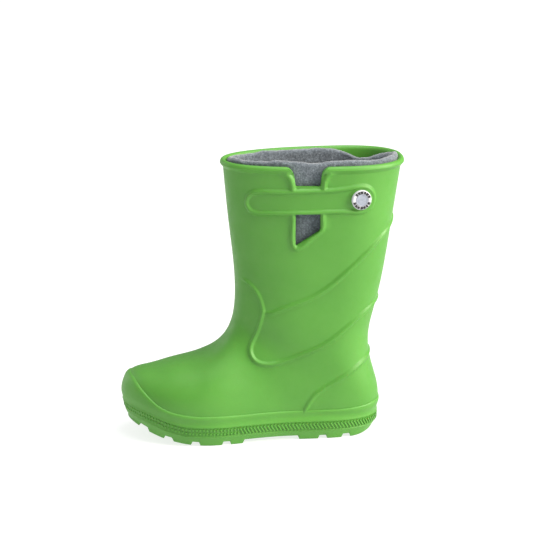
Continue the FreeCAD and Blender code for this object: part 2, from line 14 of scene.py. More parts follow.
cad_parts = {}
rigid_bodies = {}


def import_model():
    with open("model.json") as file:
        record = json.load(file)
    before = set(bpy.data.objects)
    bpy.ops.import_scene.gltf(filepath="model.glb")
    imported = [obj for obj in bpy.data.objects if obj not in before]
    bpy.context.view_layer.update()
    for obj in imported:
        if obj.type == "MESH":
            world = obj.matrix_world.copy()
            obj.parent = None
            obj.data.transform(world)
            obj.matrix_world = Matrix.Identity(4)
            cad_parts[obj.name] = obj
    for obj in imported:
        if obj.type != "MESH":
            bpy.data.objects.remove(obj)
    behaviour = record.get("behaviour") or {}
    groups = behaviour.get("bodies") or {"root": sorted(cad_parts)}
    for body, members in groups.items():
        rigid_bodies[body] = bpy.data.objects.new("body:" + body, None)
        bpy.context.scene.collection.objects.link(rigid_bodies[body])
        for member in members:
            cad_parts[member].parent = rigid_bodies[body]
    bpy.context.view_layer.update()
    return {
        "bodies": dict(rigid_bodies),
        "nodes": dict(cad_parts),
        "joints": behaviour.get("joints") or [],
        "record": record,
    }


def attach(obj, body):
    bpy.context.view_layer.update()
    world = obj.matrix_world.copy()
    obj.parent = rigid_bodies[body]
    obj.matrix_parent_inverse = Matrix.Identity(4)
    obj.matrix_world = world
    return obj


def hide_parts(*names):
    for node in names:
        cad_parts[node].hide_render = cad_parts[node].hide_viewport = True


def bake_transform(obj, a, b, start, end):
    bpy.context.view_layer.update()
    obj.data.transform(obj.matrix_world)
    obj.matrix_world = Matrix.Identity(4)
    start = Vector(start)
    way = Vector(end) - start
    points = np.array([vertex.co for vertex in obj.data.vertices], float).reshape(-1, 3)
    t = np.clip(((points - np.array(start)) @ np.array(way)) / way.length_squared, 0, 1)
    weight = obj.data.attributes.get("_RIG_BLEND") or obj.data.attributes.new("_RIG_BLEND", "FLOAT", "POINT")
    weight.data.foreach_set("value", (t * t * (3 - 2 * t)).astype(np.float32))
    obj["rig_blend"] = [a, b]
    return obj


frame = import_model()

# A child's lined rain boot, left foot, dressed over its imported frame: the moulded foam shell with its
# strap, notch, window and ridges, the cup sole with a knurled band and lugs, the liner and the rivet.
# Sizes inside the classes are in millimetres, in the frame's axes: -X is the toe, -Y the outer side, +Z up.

MM = 0.001
FULL_TURN = 2 * math.pi
LOG = logging.getLogger("rain_boot")


class Side(Enum):
    """A side of the left boot, as the sign of Y."""

    OUTER = -1
    BACK = 0
    INNER = 1


# --- Curves ---------------------------------------------------------------------------------------


def bends_of(knots: np.ndarray, steps: np.ndarray, closed: bool) -> np.ndarray:
    """Solves a cubic spline for its second derivatives.

    Args:
        knots: the points, one row each; a closed curve repeats its first point last.
        steps: the parameter's step from each point to the next.
        closed: whether the curve closes on itself.

    Returns:
        The second derivative at each point, one row each.
    """
    count = len(knots)
    system = np.zeros((count, count))
    right = np.zeros_like(knots)
    slopes = np.diff(knots, axis=0) / steps[:, None]
    for i in range(1, count - 1):
        system[i, i - 1:i + 2] = steps[i - 1], 2 * (steps[i - 1] + steps[i]), steps[i]
        right[i] = 6 * (slopes[i] - slopes[i - 1])
    if closed:
        system[0, 0], system[0, -1] = 1, -1
        system[-1, -2], system[-1, -1], system[-1, 1] = steps[-1], 2 * (steps[-1] + steps[0]), steps[0]
        right[-1] = 6 * (slopes[0] - slopes[-1])
    else:
        system[0, :2] = 1, -1
        system[-1, -2:] = -1, 1
    return np.linalg.solve(system, right)


def smooth_line(points: Sequence[Sequence[float]], closed: bool, count: int) -> np.ndarray:
    """Samples the smooth curve through some points.

    Args:
        points: the points, in two or three dimensions.
        closed: whether the curve closes on itself.
        count: how many samples to take.

    Returns:
        The samples, one row each; a closed curve doesn't repeat its first one.
    """
    knots = np.array(points, dtype=float)
    if closed:
        knots = np.vstack([knots, knots[:1]])
    steps = np.linalg.norm(np.diff(knots, axis=0), axis=1)
    ends = np.concatenate([[0.0], np.cumsum(steps)])
    bends = bends_of(knots, steps, closed)
    at = np.linspace(0.0, ends[-1], count + 1)[:-1] if closed else np.linspace(0.0, ends[-1], count)
    span = np.clip(np.searchsorted(ends, at, side="right") - 1, 0, len(steps) - 1)
    width = steps[span][:, None]
    after = (at - ends[span])[:, None] / width
    before = 1 - after
    curved = (before ** 3 - before) * bends[span] + (after ** 3 - after) * bends[span + 1]
    return before * knots[span] + after * knots[span + 1] + curved * width ** 2 / 6


def offset_right(samples: np.ndarray, depth: float, closed: bool) -> np.ndarray:
    """Moves a sampled flat curve by depth to the right of its own direction."""
    if closed:
        run = np.roll(samples, -1, axis=0) - np.roll(samples, 1, axis=0)
    else:
        run = np.gradient(samples, axis=0)
    run = run / np.linalg.norm(run, axis=1)[:, None]
    return samples + depth * np.stack([run[:, 1], -run[:, 0]], axis=1)


def line_hits(samples: np.ndarray, origin: Sequence[float], along: Sequence[float]) -> np.ndarray:
    """How far along a line a sampled curve crosses it, in order.

    Args:
        samples: the curve's samples, in two dimensions.
        origin: a point on the line.
        along: the line's unit direction.

    Returns:
        The sorted distances from origin.
    """
    away = samples - np.array(origin)
    side = away[:, 1] * along[0] - away[:, 0] * along[1]
    reach = away @ np.array(along)
    first = np.nonzero((side[:-1] < 0) != (side[1:] < 0))[0]
    share = side[first] / (side[first] - side[first + 1])
    return np.sort(reach[first] + share * (reach[first + 1] - reach[first]))


def eased(low: float, high: float, share: float) -> float:
    """Eases from low to high as share goes from 0 to 1."""
    share = min(1.0, max(0.0, share))
    return low + (high - low) * share * share * (3 - 2 * share)


def eased_all(share: np.ndarray) -> np.ndarray:
    """Eases an array of shares, each from 0 to 1."""
    share = np.clip(share, 0.0, 1.0)
    return share * share * (3 - 2 * share)


# --- The boot's form ------------------------------------------------------------------------------


@dataclass
class BootForm:
    """The smooth skin of the boot: sections stand upright at the toe, fan round the instep and lie level.

    A place on the skin is a turn and an angle. Turn runs 0 to 1 along the nose, to 2 along the toes, to 3
    round the fan and to 4 up the leg. Angle runs from the front of the boot round by its inner side.
    """

    sole_length: float = 212.0
    sole_width: float = 86.0
    heel_width: float = 66.0
    shaft_height: float = 231.0
    rim_overhang: float = 17.3
    rim_length: float = 145.6
    rim_width: float = 73.5
    bead_reach: float = 2.2
    ankle_length: float = 116.5
    ankle_width: float = 69.0
    ankle_height: float = 116.0
    toe_box_height: float = 58.0
    toe_spring: float = 12.7
    shell_floor: float = 8.0
    foxing: float = 1.2
    above_rim: float = 17.5
    underside: tuple = ((0.60, 0.0), (0.66, 0.0), (0.745, 0.10), (0.83, 0.40), (0.92, 1.0))
    stations: int = 960
    ring_points: int = 24
    table: np.ndarray = field(init=False, repr=False)
    bends: np.ndarray = field(init=False, repr=False)

    def __post_init__(self) -> None:
        """Works out the outlines and the table of sections."""
        self.heel = (self.sole_length - self.rim_overhang - self.bead_reach) / 2
        self.rim_back = self.heel + self.rim_overhang
        self.rim_front = self.rim_back - self.rim_length
        self.ankle_back = self.heel - 0.01 * self.sole_length
        self.ankle_front = self.ankle_back - self.ankle_length
        self.pivot = (self.ankle_front - 0.12 * self.sole_length, self.ankle_height)
        self.top = self.shaft_height + self.above_rim
        self.side = smooth_line(self._side_points(), False, 900)
        self.plan = smooth_line(self._plan_points(), True, 900)
        self.foot_plan = self._closed(offset_right(self.plan, self.foxing, True))
        self.tip = float(self.side[:, 0].min())
        self.plan_tip = float(self.foot_plan[:, 0].min())
        self.nose = 0.17 * self.sole_length
        turns = np.linspace(0.0, 4.0, self.stations + 1)
        self.table = np.array([self._ring(turn) for turn in turns])
        self.bends = self._ring_bends(self.table)

    def along(self, share: float) -> float:
        """X at a share of the sole's length, counted from the heel."""
        return self.heel - share * self.sole_length

    def share_at(self, x: np.ndarray) -> np.ndarray:
        """The share of the sole's length at X, counted from the heel."""
        return (self.heel - x) / self.sole_length

    def turn_at_height(self, z: float) -> float:
        """The turn of the leg's level section at height z."""
        return 3.0 + (z - self.ankle_height) / (self.top - self.ankle_height)

    def _side_points(self) -> list[tuple[float, float]]:
        """The outline in side view: down the front, round the toe, under the foot and up the back."""
        def between(a: float, b: float, share: float) -> float:
            """The value at a share of the way from a to b."""
            return a + (b - a) * share

        floor, spring, ankle = self.shell_floor, self.toe_spring, self.ankle_height
        toe_top = self.toe_box_height
        tip = self.heel - self.sole_length + self.foxing
        heel = self.heel - self.foxing
        nose = self.along(0.92)
        climb = self.above_rim / (self.shaft_height - ankle)
        length = self.sole_length
        front = [
            (self.rim_front + climb * (self.rim_front - self.ankle_front), self.top),
            (self.rim_front, self.shaft_height),
            (between(self.ankle_front, self.rim_front, 0.44), between(ankle, self.shaft_height, 0.5)),
            (self.ankle_front, ankle),
            (self.along(0.583), between(toe_top, ankle, 0.56)),
            (self.along(0.64), between(toe_top, ankle, 0.30)),
            (self.along(0.71), between(toe_top, ankle, 0.165)),
            (self.along(0.80), between(toe_top, ankle, 0.08)),
            (self.along(0.89), toe_top - 0.5),
            (between(tip, nose, 0.34), between(floor + spring, toe_top, 0.83)),
            (between(tip, nose, 0.05), between(floor + spring, toe_top, 0.58)),
            (tip, between(floor + spring, toe_top, 0.36)),
            (between(tip, nose, 0.33), floor + 1.36 * spring),
        ]
        bottom = [(self.along(share), floor + rise * spring) for share, rise in reversed(self.underside)]
        back = [
            (self.along(0.30), floor),
            (self.along(0.12), floor),
            (self.along(0.043), between(floor, ankle, 0.035)),
            (heel, between(floor, ankle, 0.16)),
            (heel - 0.023 * length, between(floor, ankle, 0.45)),
            (heel - 0.037 * length, between(floor, ankle, 0.70)),
            (self.ankle_back - 0.006 * length, between(floor, ankle, 0.94)),
            (between(self.ankle_back, self.rim_back, 0.50), between(ankle, self.shaft_height, 0.45)),
            (self.rim_back, self.shaft_height),
            (self.rim_back + climb * (self.rim_back - self.ankle_back), self.top),
        ]
        return front + bottom + back

    def _plan_points(self) -> list[tuple[float, float]]:
        """The sole's widest outline from above, from the heel along the outer side and round."""
        ball, heel = self.sole_width / 2, self.heel_width / 2
        return [
            (self.along(0.0), 0.0),
            (self.along(0.045), -0.68 * heel),
            (self.along(0.16), -0.99 * heel),
            (self.along(0.40), -0.80 * ball),
            (self.along(0.67), -ball),
            (self.along(0.85), -0.83 * ball),
            (self.along(0.965), -0.36 * ball),
            (self.along(1.0), 0.12 * ball),
            (self.along(0.965), 0.60 * ball),
            (self.along(0.87), 0.88 * ball),
            (self.along(0.72), ball),
            (self.along(0.44), 0.68 * ball),
            (self.along(0.17), 0.97 * heel),
            (self.along(0.045), 0.68 * heel),
        ]

    @staticmethod
    def _closed(samples: np.ndarray) -> np.ndarray:
        """The samples with the first one repeated last."""
        return np.vstack([samples, samples[:1]])

    def _plan_at(self, x: float) -> tuple[float, float]:
        """The outer and inner edge of the foot in plan, at X."""
        fade = max(0.0, 1 - (x - self.tip) / self.nose)
        hits = line_hits(self.foot_plan, (x + fade * (self.plan_tip - self.tip), 0.0), (0.0, 1.0))
        return float(hits[0]), float(hits[-1])

    def _plane(self, turn: float) -> tuple[tuple[float, float], tuple[float, float], float]:
        """The section plane at a turn: its origin, its direction and its share of the way to level."""
        if turn <= 1.0:
            reach = max(1e-6, 1 - math.cos(turn * math.pi / 2))
            return (self.tip + self.nose * reach, 0.0), (0.0, 1.0), 0.0
        if turn <= 2.0:
            start = self.tip + self.nose
            return (start + (self.pivot[0] - start) * (turn - 1.0), 0.0), (0.0, 1.0), 0.0
        if turn < 3.0:
            lean = (turn - 2.0) * math.pi / 2
            return self.pivot, (-math.sin(lean), math.cos(lean)), turn - 2.0
        return (0.0, self.ankle_height + (self.top - self.ankle_height) * (turn - 3.0)), (-1.0, 0.0), 1.0

    def _ring(self, turn: float) -> np.ndarray:
        """The points of one section, evenly spaced in parameter, from the front round by the inner side."""
        origin, along, turned = self._plane(turn)
        hits = line_hits(self.side, origin, along)
        if 0.0 < turned < 1.0:
            hits = hits[hits < 0]
        low = np.array([origin[0] + hits[0] * along[0], 0.0, origin[1] + hits[0] * along[1]])
        high = np.array([origin[0] + hits[-1] * along[0], 0.0, origin[1] + hits[-1] * along[1]])
        widest = low + (high - low) * 0.36
        outer, inner = self._plan_at(min(widest[0], self.along(0.16)))
        climb = max(0.0, (widest[2] - self.ankle_height) / (self.shaft_height - self.ankle_height))
        leg_half = (self.ankle_width + (self.rim_width - self.ankle_width) * climb) / 2
        half = eased((inner - outer) / 2, leg_half, turned)
        middle = eased((inner + outer) / 2, 0.0, turned * 1.4)
        back_power, front_power = eased(3.0, 2.4, turned), eased(2.2, 2.3, turned)
        angles = np.arange(self.ring_points) * FULL_TURN / self.ring_points
        run, reach = np.cos(angles), np.sin(angles)
        power = np.where(run > 1e-9, front_power, back_power)
        arm = np.where((run > 1e-9)[:, None], high - widest, low - widest)
        points = widest + arm * (np.abs(run) ** (2 / power))[:, None]
        points[:, 1] = middle + np.sign(reach) * half * np.abs(reach) ** (2 / power)
        return points

    @staticmethod
    def _ring_bends(rings: np.ndarray) -> np.ndarray:
        """The second derivatives of every ring's closed spline."""
        count = rings.shape[1]
        system = 4 * np.eye(count) + np.roll(np.eye(count), 1, axis=0) + np.roll(np.eye(count), -1, axis=0)
        right = 6 * (np.roll(rings, 1, axis=1) - 2 * rings + np.roll(rings, -1, axis=1))
        return np.einsum("ij,kjc->kic", np.linalg.inv(system), right)

    def at(self, turn: np.ndarray, angle: np.ndarray) -> np.ndarray:
        """Points on the skin.

        Args:
            turn: the turn of each point.
            angle: the angle of each point, in radians.

        Returns:
            The points in millimetres, one row each.
        """
        station = np.clip(turn, 0.0, 4.0) * self.stations / 4
        row = np.clip(station.astype(int), 0, self.stations - 1)
        share = (station - row)[:, None]
        place = np.mod(angle, FULL_TURN) / FULL_TURN * self.ring_points
        first = place.astype(int) % self.ring_points
        second = (first + 1) % self.ring_points
        after = (place - np.floor(place))[:, None]
        before = 1 - after
        found = 0.0
        for offset, weight in ((0, 1 - share), (1, share)):
            curved = (before ** 3 - before) * self.bends[row + offset, first]
            curved = curved + (after ** 3 - after) * self.bends[row + offset, second]
            straight = before * self.table[row + offset, first] + after * self.table[row + offset, second]
            found = found + weight * (straight + curved / 6)
        return found

    def outward(self, turn: np.ndarray, angle: np.ndarray) -> np.ndarray:
        """The skin's outward unit normals at places on it."""
        small = 0.012
        up = self.at(np.minimum(turn + small, 4.0), angle) - self.at(np.maximum(turn - small, 0.0), angle)
        round_it = self.at(turn, angle + small) - self.at(turn, angle - small)
        normal = np.cross(up, round_it)
        return normal / np.maximum(np.linalg.norm(normal, axis=1), 1e-9)[:, None]


# --- Moulded ridges -------------------------------------------------------------------------------


@dataclass(frozen=True)
class Ridge:
    """A moulded bead along a line on the skin.

    Attributes:
        points: places along the line in side view, each as X, Z and the side that it lies on.
        height: how far the bead stands out.
        reach: from the bead's crest to its foot.
        closed: whether the line closes on itself.
        fade_in: the length over which the bead rises from nothing at its start.
        fade_out: the same at its end.
    """

    points: tuple[tuple[float, float, Side], ...]
    height: float
    reach: float
    closed: bool = False
    fade_in: float = 0.0
    fade_out: float = 0.0


class Relief:
    """All moulded beads of the shell, as heights over the boot's form."""

    STEP = 0.8

    def __init__(self, form: BootForm, ridges: Sequence[Ridge]) -> None:
        """Lays every ridge's line on the form."""
        self.form = form
        self.ridges = list(ridges)
        turns = np.repeat(np.linspace(0.3, 3.98, 560), 480)
        angles = np.tile(np.arange(480) * FULL_TURN / 480, 560)
        self.spots = form.at(turns, angles)
        self.angles = angles
        self.lines = [self._laid(ridge) for ridge in self.ridges]

    def place_of(self, x: float, z: float, side: Side) -> np.ndarray:
        """The point of the form at X and Z in side view, on one side."""
        if side is Side.BACK:
            mine = np.abs(self.angles - math.pi) < 0.01
            gap = np.abs(self.spots[:, 2] - z)
        else:
            mine = np.sin(self.angles) * side.value > 0
            gap = np.hypot(self.spots[:, 0] - x, self.spots[:, 2] - z)
        gap = np.where(mine, gap, np.inf)
        nearest = self.spots[np.argmin(gap)]
        if side is Side.BACK or gap.min() > 1.0:
            return nearest
        near = self.spots[np.argsort(gap)[:14]]
        away = np.column_stack([np.ones(len(near)), near[:, 0] - x, near[:, 2] - z])
        depth = float(np.linalg.lstsq(away, near[:, 1], rcond=None)[0][0])
        return np.array([x, depth, z]) if abs(depth - nearest[1]) < 1.5 else nearest

    def _laid(self, ridge: Ridge) -> tuple[np.ndarray, np.ndarray]:
        """A ridge's line in space and its share of height along the line."""
        places = [self.place_of(*point) for point in ridge.points]
        rough = smooth_line(places, ridge.closed, 200)
        length = float(np.linalg.norm(np.diff(rough, axis=0), axis=1).sum())
        line = smooth_line(places, ridge.closed, max(8, int(length / self.STEP)))
        if ridge.closed:
            line = np.vstack([line, line[:1]])
        run = np.concatenate([[0.0], np.cumsum(np.linalg.norm(np.diff(line, axis=0), axis=1))])
        share = np.ones(len(line))
        if ridge.fade_in:
            share = share * eased_all(run / ridge.fade_in)
        if ridge.fade_out:
            share = share * eased_all((run[-1] - run) / ridge.fade_out)
        return line, share

    @staticmethod
    def _nearest(points: np.ndarray, line: np.ndarray, share: np.ndarray) -> tuple[np.ndarray, np.ndarray]:
        """The distance from each point to a line, and the line's share of height there."""
        start, run = line[:-1], np.diff(line, axis=0)
        square = np.maximum((run ** 2).sum(axis=1), 1e-12)
        gaps, shares = np.empty(len(points)), np.empty(len(points))
        for first in range(0, len(points), 2000):
            block = points[first:first + 2000]
            away = block[:, None, :] - start[None, :, :]
            part = np.clip((away * run[None]).sum(axis=2) / square, 0.0, 1.0)
            gap = np.linalg.norm(away - part[..., None] * run[None], axis=2)
            best = gap.argmin(axis=1)
            rows = np.arange(len(block))
            gaps[first:first + 2000] = gap[rows, best]
            inside = part[rows, best]
            shares[first:first + 2000] = share[best] * (1 - inside) + share[best + 1] * inside
        return gaps, shares

    def _each(self, points: np.ndarray, margin: float
              ) -> Iterator[tuple[Ridge, np.ndarray, np.ndarray, np.ndarray]]:
        """For each ridge, the points near it, their distances from it and its share of height there."""
        for ridge, (line, share) in zip(self.ridges, self.lines):
            low, high = line.min(axis=0) - margin, line.max(axis=0) + margin
            near = np.nonzero(((points > low) & (points < high)).all(axis=1))[0]
            if len(near):
                gaps, shares = self._nearest(points[near], line, share)
                yield ridge, near, gaps, shares

    def closeness(self, points: np.ndarray, margin: float) -> np.ndarray:
        """The distance from each point to the nearest ridge, no more than margin."""
        found = np.full(len(points), margin)
        for _, near, gaps, _ in self._each(points, margin):
            found[near] = np.minimum(found[near], gaps)
        return found

    def heights(self, points: np.ndarray) -> np.ndarray:
        """How far the moulded beads stand out at each point of the form."""
        found = np.zeros(len(points))
        for ridge, near, gaps, shares in self._each(points, 8.0):
            swell = np.clip(1 - (gaps / ridge.reach) ** 2, 0.0, 1.0) ** 1.4
            found[near] = np.maximum(found[near], ridge.height * shares * swell)
        return found


# --- Mesh helpers ---------------------------------------------------------------------------------


def new_object(name: str, mesh_maker: bmesh.types.BMesh, scale: float = MM) -> bpy.types.Object:
    """Makes a smooth-shaded object from a bmesh in millimetres, and frees the bmesh.

    Args:
        name: the piece's name.
        mesh_maker: the bmesh to turn into a mesh.
        scale: metres per unit of the bmesh.

    Returns:
        The new object, linked to the scene, at the origin.
    """
    bmesh.ops.scale(mesh_maker, vec=(scale, scale, scale), verts=mesh_maker.verts)
    mesh = bpy.data.meshes.new(name)
    mesh_maker.to_mesh(mesh)
    mesh_maker.free()
    mesh.polygons.foreach_set("use_smooth", [True] * len(mesh.polygons))
    made = bpy.data.objects.new(name, mesh)
    bpy.context.scene.collection.objects.link(made)
    return made


def sharpen(piece: bpy.types.Object, degrees: float) -> None:
    """Marks a piece's edges that turn by more than an angle as sharp."""
    piece.data.set_sharp_from_angle(angle=math.radians(degrees))


def coords_of(bm: bmesh.types.BMesh) -> np.ndarray:
    """The places of a bmesh's vertices, one row each."""
    return np.array([vert.co[:] for vert in bm.verts])


def move_to(bm: bmesh.types.BMesh, places: np.ndarray) -> None:
    """Moves every vertex of a bmesh to its new place."""
    for vert, place in zip(bm.verts, places):
        vert.co = place


@dataclass(frozen=True)
class Row:
    """A row of a skin: its turn, how far it stands out of the form and its share of the moulded relief."""

    turn: float
    offset: float = 0.0
    cover: float = 0.0


class Skin:
    """A bmesh grid wrapped round the boot's form, whose vertices remember where on the form they lie."""

    def __init__(self, form: BootForm, rows: Sequence[Row], columns: int) -> None:
        """Wraps a grid round the form and closes it at both ends.

        Args:
            form: the boot's form.
            rows: the rows of the grid, in order; the first and the last close to a point.
            columns: how many faces there are round each row.
        """
        self.form = form
        self.bm = bmesh.new()
        layers = self.bm.verts.layers.float
        self.turn, self.offset, self.cover = layers.new("turn"), layers.new("offset"), layers.new("cover")
        self.run, self.reach = layers.new("run"), layers.new("reach")
        bmesh.ops.create_grid(self.bm, x_segments=columns, y_segments=len(rows) - 1, size=1.0)
        ends: tuple[list, list] = ([], [])
        for vert in self.bm.verts:
            place = round((vert.co.y + 1) / 2 * (len(rows) - 1))
            angle = (vert.co.x + 1) / 2 * FULL_TURN
            vert[self.turn], vert[self.offset] = rows[place].turn, rows[place].offset
            vert[self.cover] = rows[place].cover
            vert[self.run], vert[self.reach] = math.cos(angle), math.sin(angle)
            if place in (0, len(rows) - 1):
                ends[place > 0].append(vert)
        self.settle()
        for end in ends:
            bmesh.ops.pointmerge(self.bm, verts=end, merge_co=end[0].co)
        bmesh.ops.remove_doubles(self.bm, verts=self.bm.verts, dist=1e-4)

    def places(self) -> tuple[np.ndarray, np.ndarray, np.ndarray, np.ndarray]:
        """The turn, angle, offset and cover of every vertex."""
        found = np.array([
            (vert[self.turn], vert[self.run], vert[self.reach], vert[self.offset], vert[self.cover])
            for vert in self.bm.verts
        ])
        return found[:, 0], np.arctan2(found[:, 2], found[:, 1]), found[:, 3], found[:, 4]

    def settle(self, relief: Callable[[np.ndarray], np.ndarray] | None = None) -> None:
        """Moves every vertex to its place on the form.

        Args:
            relief: a function of the form's points, which returns how far the moulded relief stands out.
        """
        turn, angle, offset, cover = self.places()
        base = self.form.at(turn, angle)
        if relief is not None:
            offset = offset + cover * relief(base)
        move_to(self.bm, base + self.form.outward(turn, angle) * offset[:, None])

    def refine(self, chosen: Callable[[np.ndarray], np.ndarray]) -> None:
        """Splits the covered faces whose middle is chosen, and lays the new vertices on the form.

        Args:
            chosen: a function of the faces' middles, which returns a flag for each.
        """
        faces = [face for face in self.bm.faces if all(vert[self.cover] > 0.4 for vert in face.verts)]
        picked = chosen(np.array([face.calc_center_median()[:] for face in faces]))
        edges = {edge for face, pick in zip(faces, picked) if pick for edge in face.edges}
        bmesh.ops.subdivide_edges(self.bm, edges=list(edges), cuts=1, use_grid_fill=True)
        self.settle()


def spread(start: float, end: float, count: int) -> list[float]:
    """Evenly spaced numbers from start up to, but not including, end."""
    return [start + (end - start) * i / count for i in range(count)]


def prism(name: str, corners: Sequence[tuple[float, float, float]], near: float, far: float
          ) -> bpy.types.Object:
    """A prism along Y over an outline in side view.

    Args:
        name: the object's name.
        corners: the outline's corners, each as X, Z and the radius that rounds it.
        near: where the prism starts along Y.
        far: where it ends.

    Returns:
        The prism.
    """
    bm = bmesh.new()
    verts = [bm.verts.new((x, near, z)) for x, z, _ in corners]
    bm.faces.new(verts)
    for vert, (_, _, radius) in zip(verts, corners):
        if radius:
            bmesh.ops.bevel(bm, geom=[vert], offset=radius, segments=8, profile=0.5, affect="VERTICES",
                            material=-1)
    grown = bmesh.ops.extrude_face_region(bm, geom=list(bm.faces))["geom"]
    moved = [part for part in grown if isinstance(part, bmesh.types.BMVert)]
    bmesh.ops.translate(bm, vec=(0, far - near, 0), verts=moved)
    bmesh.ops.recalc_face_normals(bm, faces=bm.faces)
    return new_object(name, bm)


def cut_away(piece: bpy.types.Object, cutters: Sequence[bpy.types.Object]) -> None:
    """Cuts shapes out of a piece and deletes them.

    Args:
        piece: the piece to cut.
        cutters: closed shapes to take away.
    """
    for cutter in cutters:
        step = piece.modifiers.new("cut", "BOOLEAN")
        step.operation, step.solver, step.object = "DIFFERENCE", "EXACT", cutter
    bpy.context.view_layer.update()
    cut = bpy.data.meshes.new_from_object(piece.evaluated_get(bpy.context.evaluated_depsgraph_get()))
    piece.modifiers.clear()
    piece.data = cut
    for cutter in cutters:
        bpy.data.objects.remove(cutter)


def turned_piece(bm: bmesh.types.BMesh, profile: Sequence[tuple[float, float]], steps: int) -> None:
    """Turns a half section, given as radius and height, once round Z."""
    verts = [bm.verts.new((radius, 0.0, height)) for radius, height in profile]
    chain = [bm.edges.new(pair) for pair in zip(verts, verts[1:])]
    bmesh.ops.spin(bm, geom=verts + chain, cent=(0, 0, 0), axis=(0, 0, 1), angle=FULL_TURN, steps=steps,
                   use_merge=True)
    bmesh.ops.remove_doubles(bm, verts=bm.verts, dist=1e-4)
    bmesh.ops.recalc_face_normals(bm, faces=bm.faces)


# --- Finishes -------------------------------------------------------------------------------------


class Paint:
    """A material's node tree, with short calls for the nodes that the finishes share."""

    def __init__(self, name: str) -> None:
        """Starts a material with one Principled shader."""
        self.material = bpy.data.materials.new(name)
        self.material.use_nodes = True
        self.tree = self.material.node_tree
        self.shader = self.tree.nodes["Principled BSDF"]
        self.place = self.tree.nodes.new("ShaderNodeTexCoord").outputs["Object"]

    def link(self, start: bpy.types.NodeSocket, end: bpy.types.NodeSocket) -> None:
        """Joins two sockets."""
        self.tree.links.new(start, end)

    def set(self, **values: float) -> None:
        """Sets the shader's own sockets; an underscore stands for a space."""
        for name, value in values.items():
            self.shader.inputs[name.replace("_", " ")].default_value = value

    def noise(self, scale: float, detail: float = 2.0, rough: float = 0.5,
              stretch: Sequence[float] = (1, 1, 1)) -> bpy.types.NodeSocket:
        """A noise pattern on the object's coordinates.

        Args:
            scale: patches per metre, about.
            detail: how many finer octaves it has.
            rough: how strong the finer octaves are.
            stretch: the scale along each axis, times scale.

        Returns:
            The pattern's value.
        """
        mapping = self.tree.nodes.new("ShaderNodeMapping")
        mapping.inputs["Scale"].default_value = stretch
        self.link(self.place, mapping.inputs["Vector"])
        texture = self.tree.nodes.new("ShaderNodeTexNoise")
        texture.inputs["Scale"].default_value = scale
        texture.inputs["Detail"].default_value = detail
        texture.inputs["Roughness"].default_value = rough
        self.link(mapping.outputs["Vector"], texture.inputs["Vector"])
        return texture.outputs["Fac"]

    def cells(self, scale: float) -> bpy.types.NodeSocket:
        """A pattern of rounded cells on the object's coordinates: the distance from each cell's middle."""
        texture = self.tree.nodes.new("ShaderNodeTexVoronoi")
        texture.inputs["Scale"].default_value = scale
        self.link(self.place, texture.inputs["Vector"])
        return texture.outputs["Distance"]

    def ramp(self, value: bpy.types.NodeSocket, stops: Sequence[tuple[float, Sequence[float]]]
             ) -> bpy.types.NodeSocket:
        """Turns a value into colours.

        Args:
            value: the value to read.
            stops: places from 0 to 1, each with its linear colour.

        Returns:
            The colour.
        """
        node = self.tree.nodes.new("ShaderNodeValToRGB")
        band = node.color_ramp
        while len(band.elements) < len(stops):
            band.elements.new(0.5)
        for element, (place, colour) in zip(band.elements, stops):
            element.position = place
            element.color = (*colour[:3], 1.0)
        self.link(value, node.inputs["Fac"])
        return node.outputs["Color"]

    def remap(self, value: bpy.types.NodeSocket, low: float, high: float, start: float = 0.0, end: float = 1.0
              ) -> bpy.types.NodeSocket:
        """Maps a value from low to high onto start to end, clamped."""
        node = self.tree.nodes.new("ShaderNodeMapRange")
        for name, number in zip(("From Min", "From Max", "To Min", "To Max"), (low, high, start, end)):
            node.inputs[name].default_value = number
        self.link(value, node.inputs["Value"])
        return node.outputs["Result"]

    def multiply(self, first: bpy.types.NodeSocket, second: bpy.types.NodeSocket) -> bpy.types.NodeSocket:
        """Multiplies two colours."""
        node = self.tree.nodes.new("ShaderNodeMix")
        node.data_type, node.blend_type = "RGBA", "MULTIPLY"
        node.inputs[0].default_value = 1.0
        self.link(first, node.inputs[6])
        self.link(second, node.inputs[7])
        return node.outputs[2]

    def bump(self, height: bpy.types.NodeSocket, depth: float, before: bpy.types.NodeSocket | None = None
             ) -> bpy.types.NodeSocket:
        """Raises a pattern by depth in metres, over an earlier bump if there is one."""
        node = self.tree.nodes.new("ShaderNodeBump")
        node.inputs["Strength"].default_value = 1.0
        node.inputs["Distance"].default_value = depth
        self.link(height, node.inputs["Height"])
        if before is not None:
            self.link(before, node.inputs["Normal"])
        return node.outputs["Normal"]

    def finish(self, colour: bpy.types.NodeSocket, rough: bpy.types.NodeSocket, normal: bpy.types.NodeSocket
               ) -> bpy.types.Material:
        """Joins colour, roughness and normal to the shader and returns the material."""
        self.link(colour, self.shader.inputs["Base Color"])
        self.link(rough, self.shader.inputs["Roughness"])
        self.link(normal, self.shader.inputs["Normal"])
        return self.material


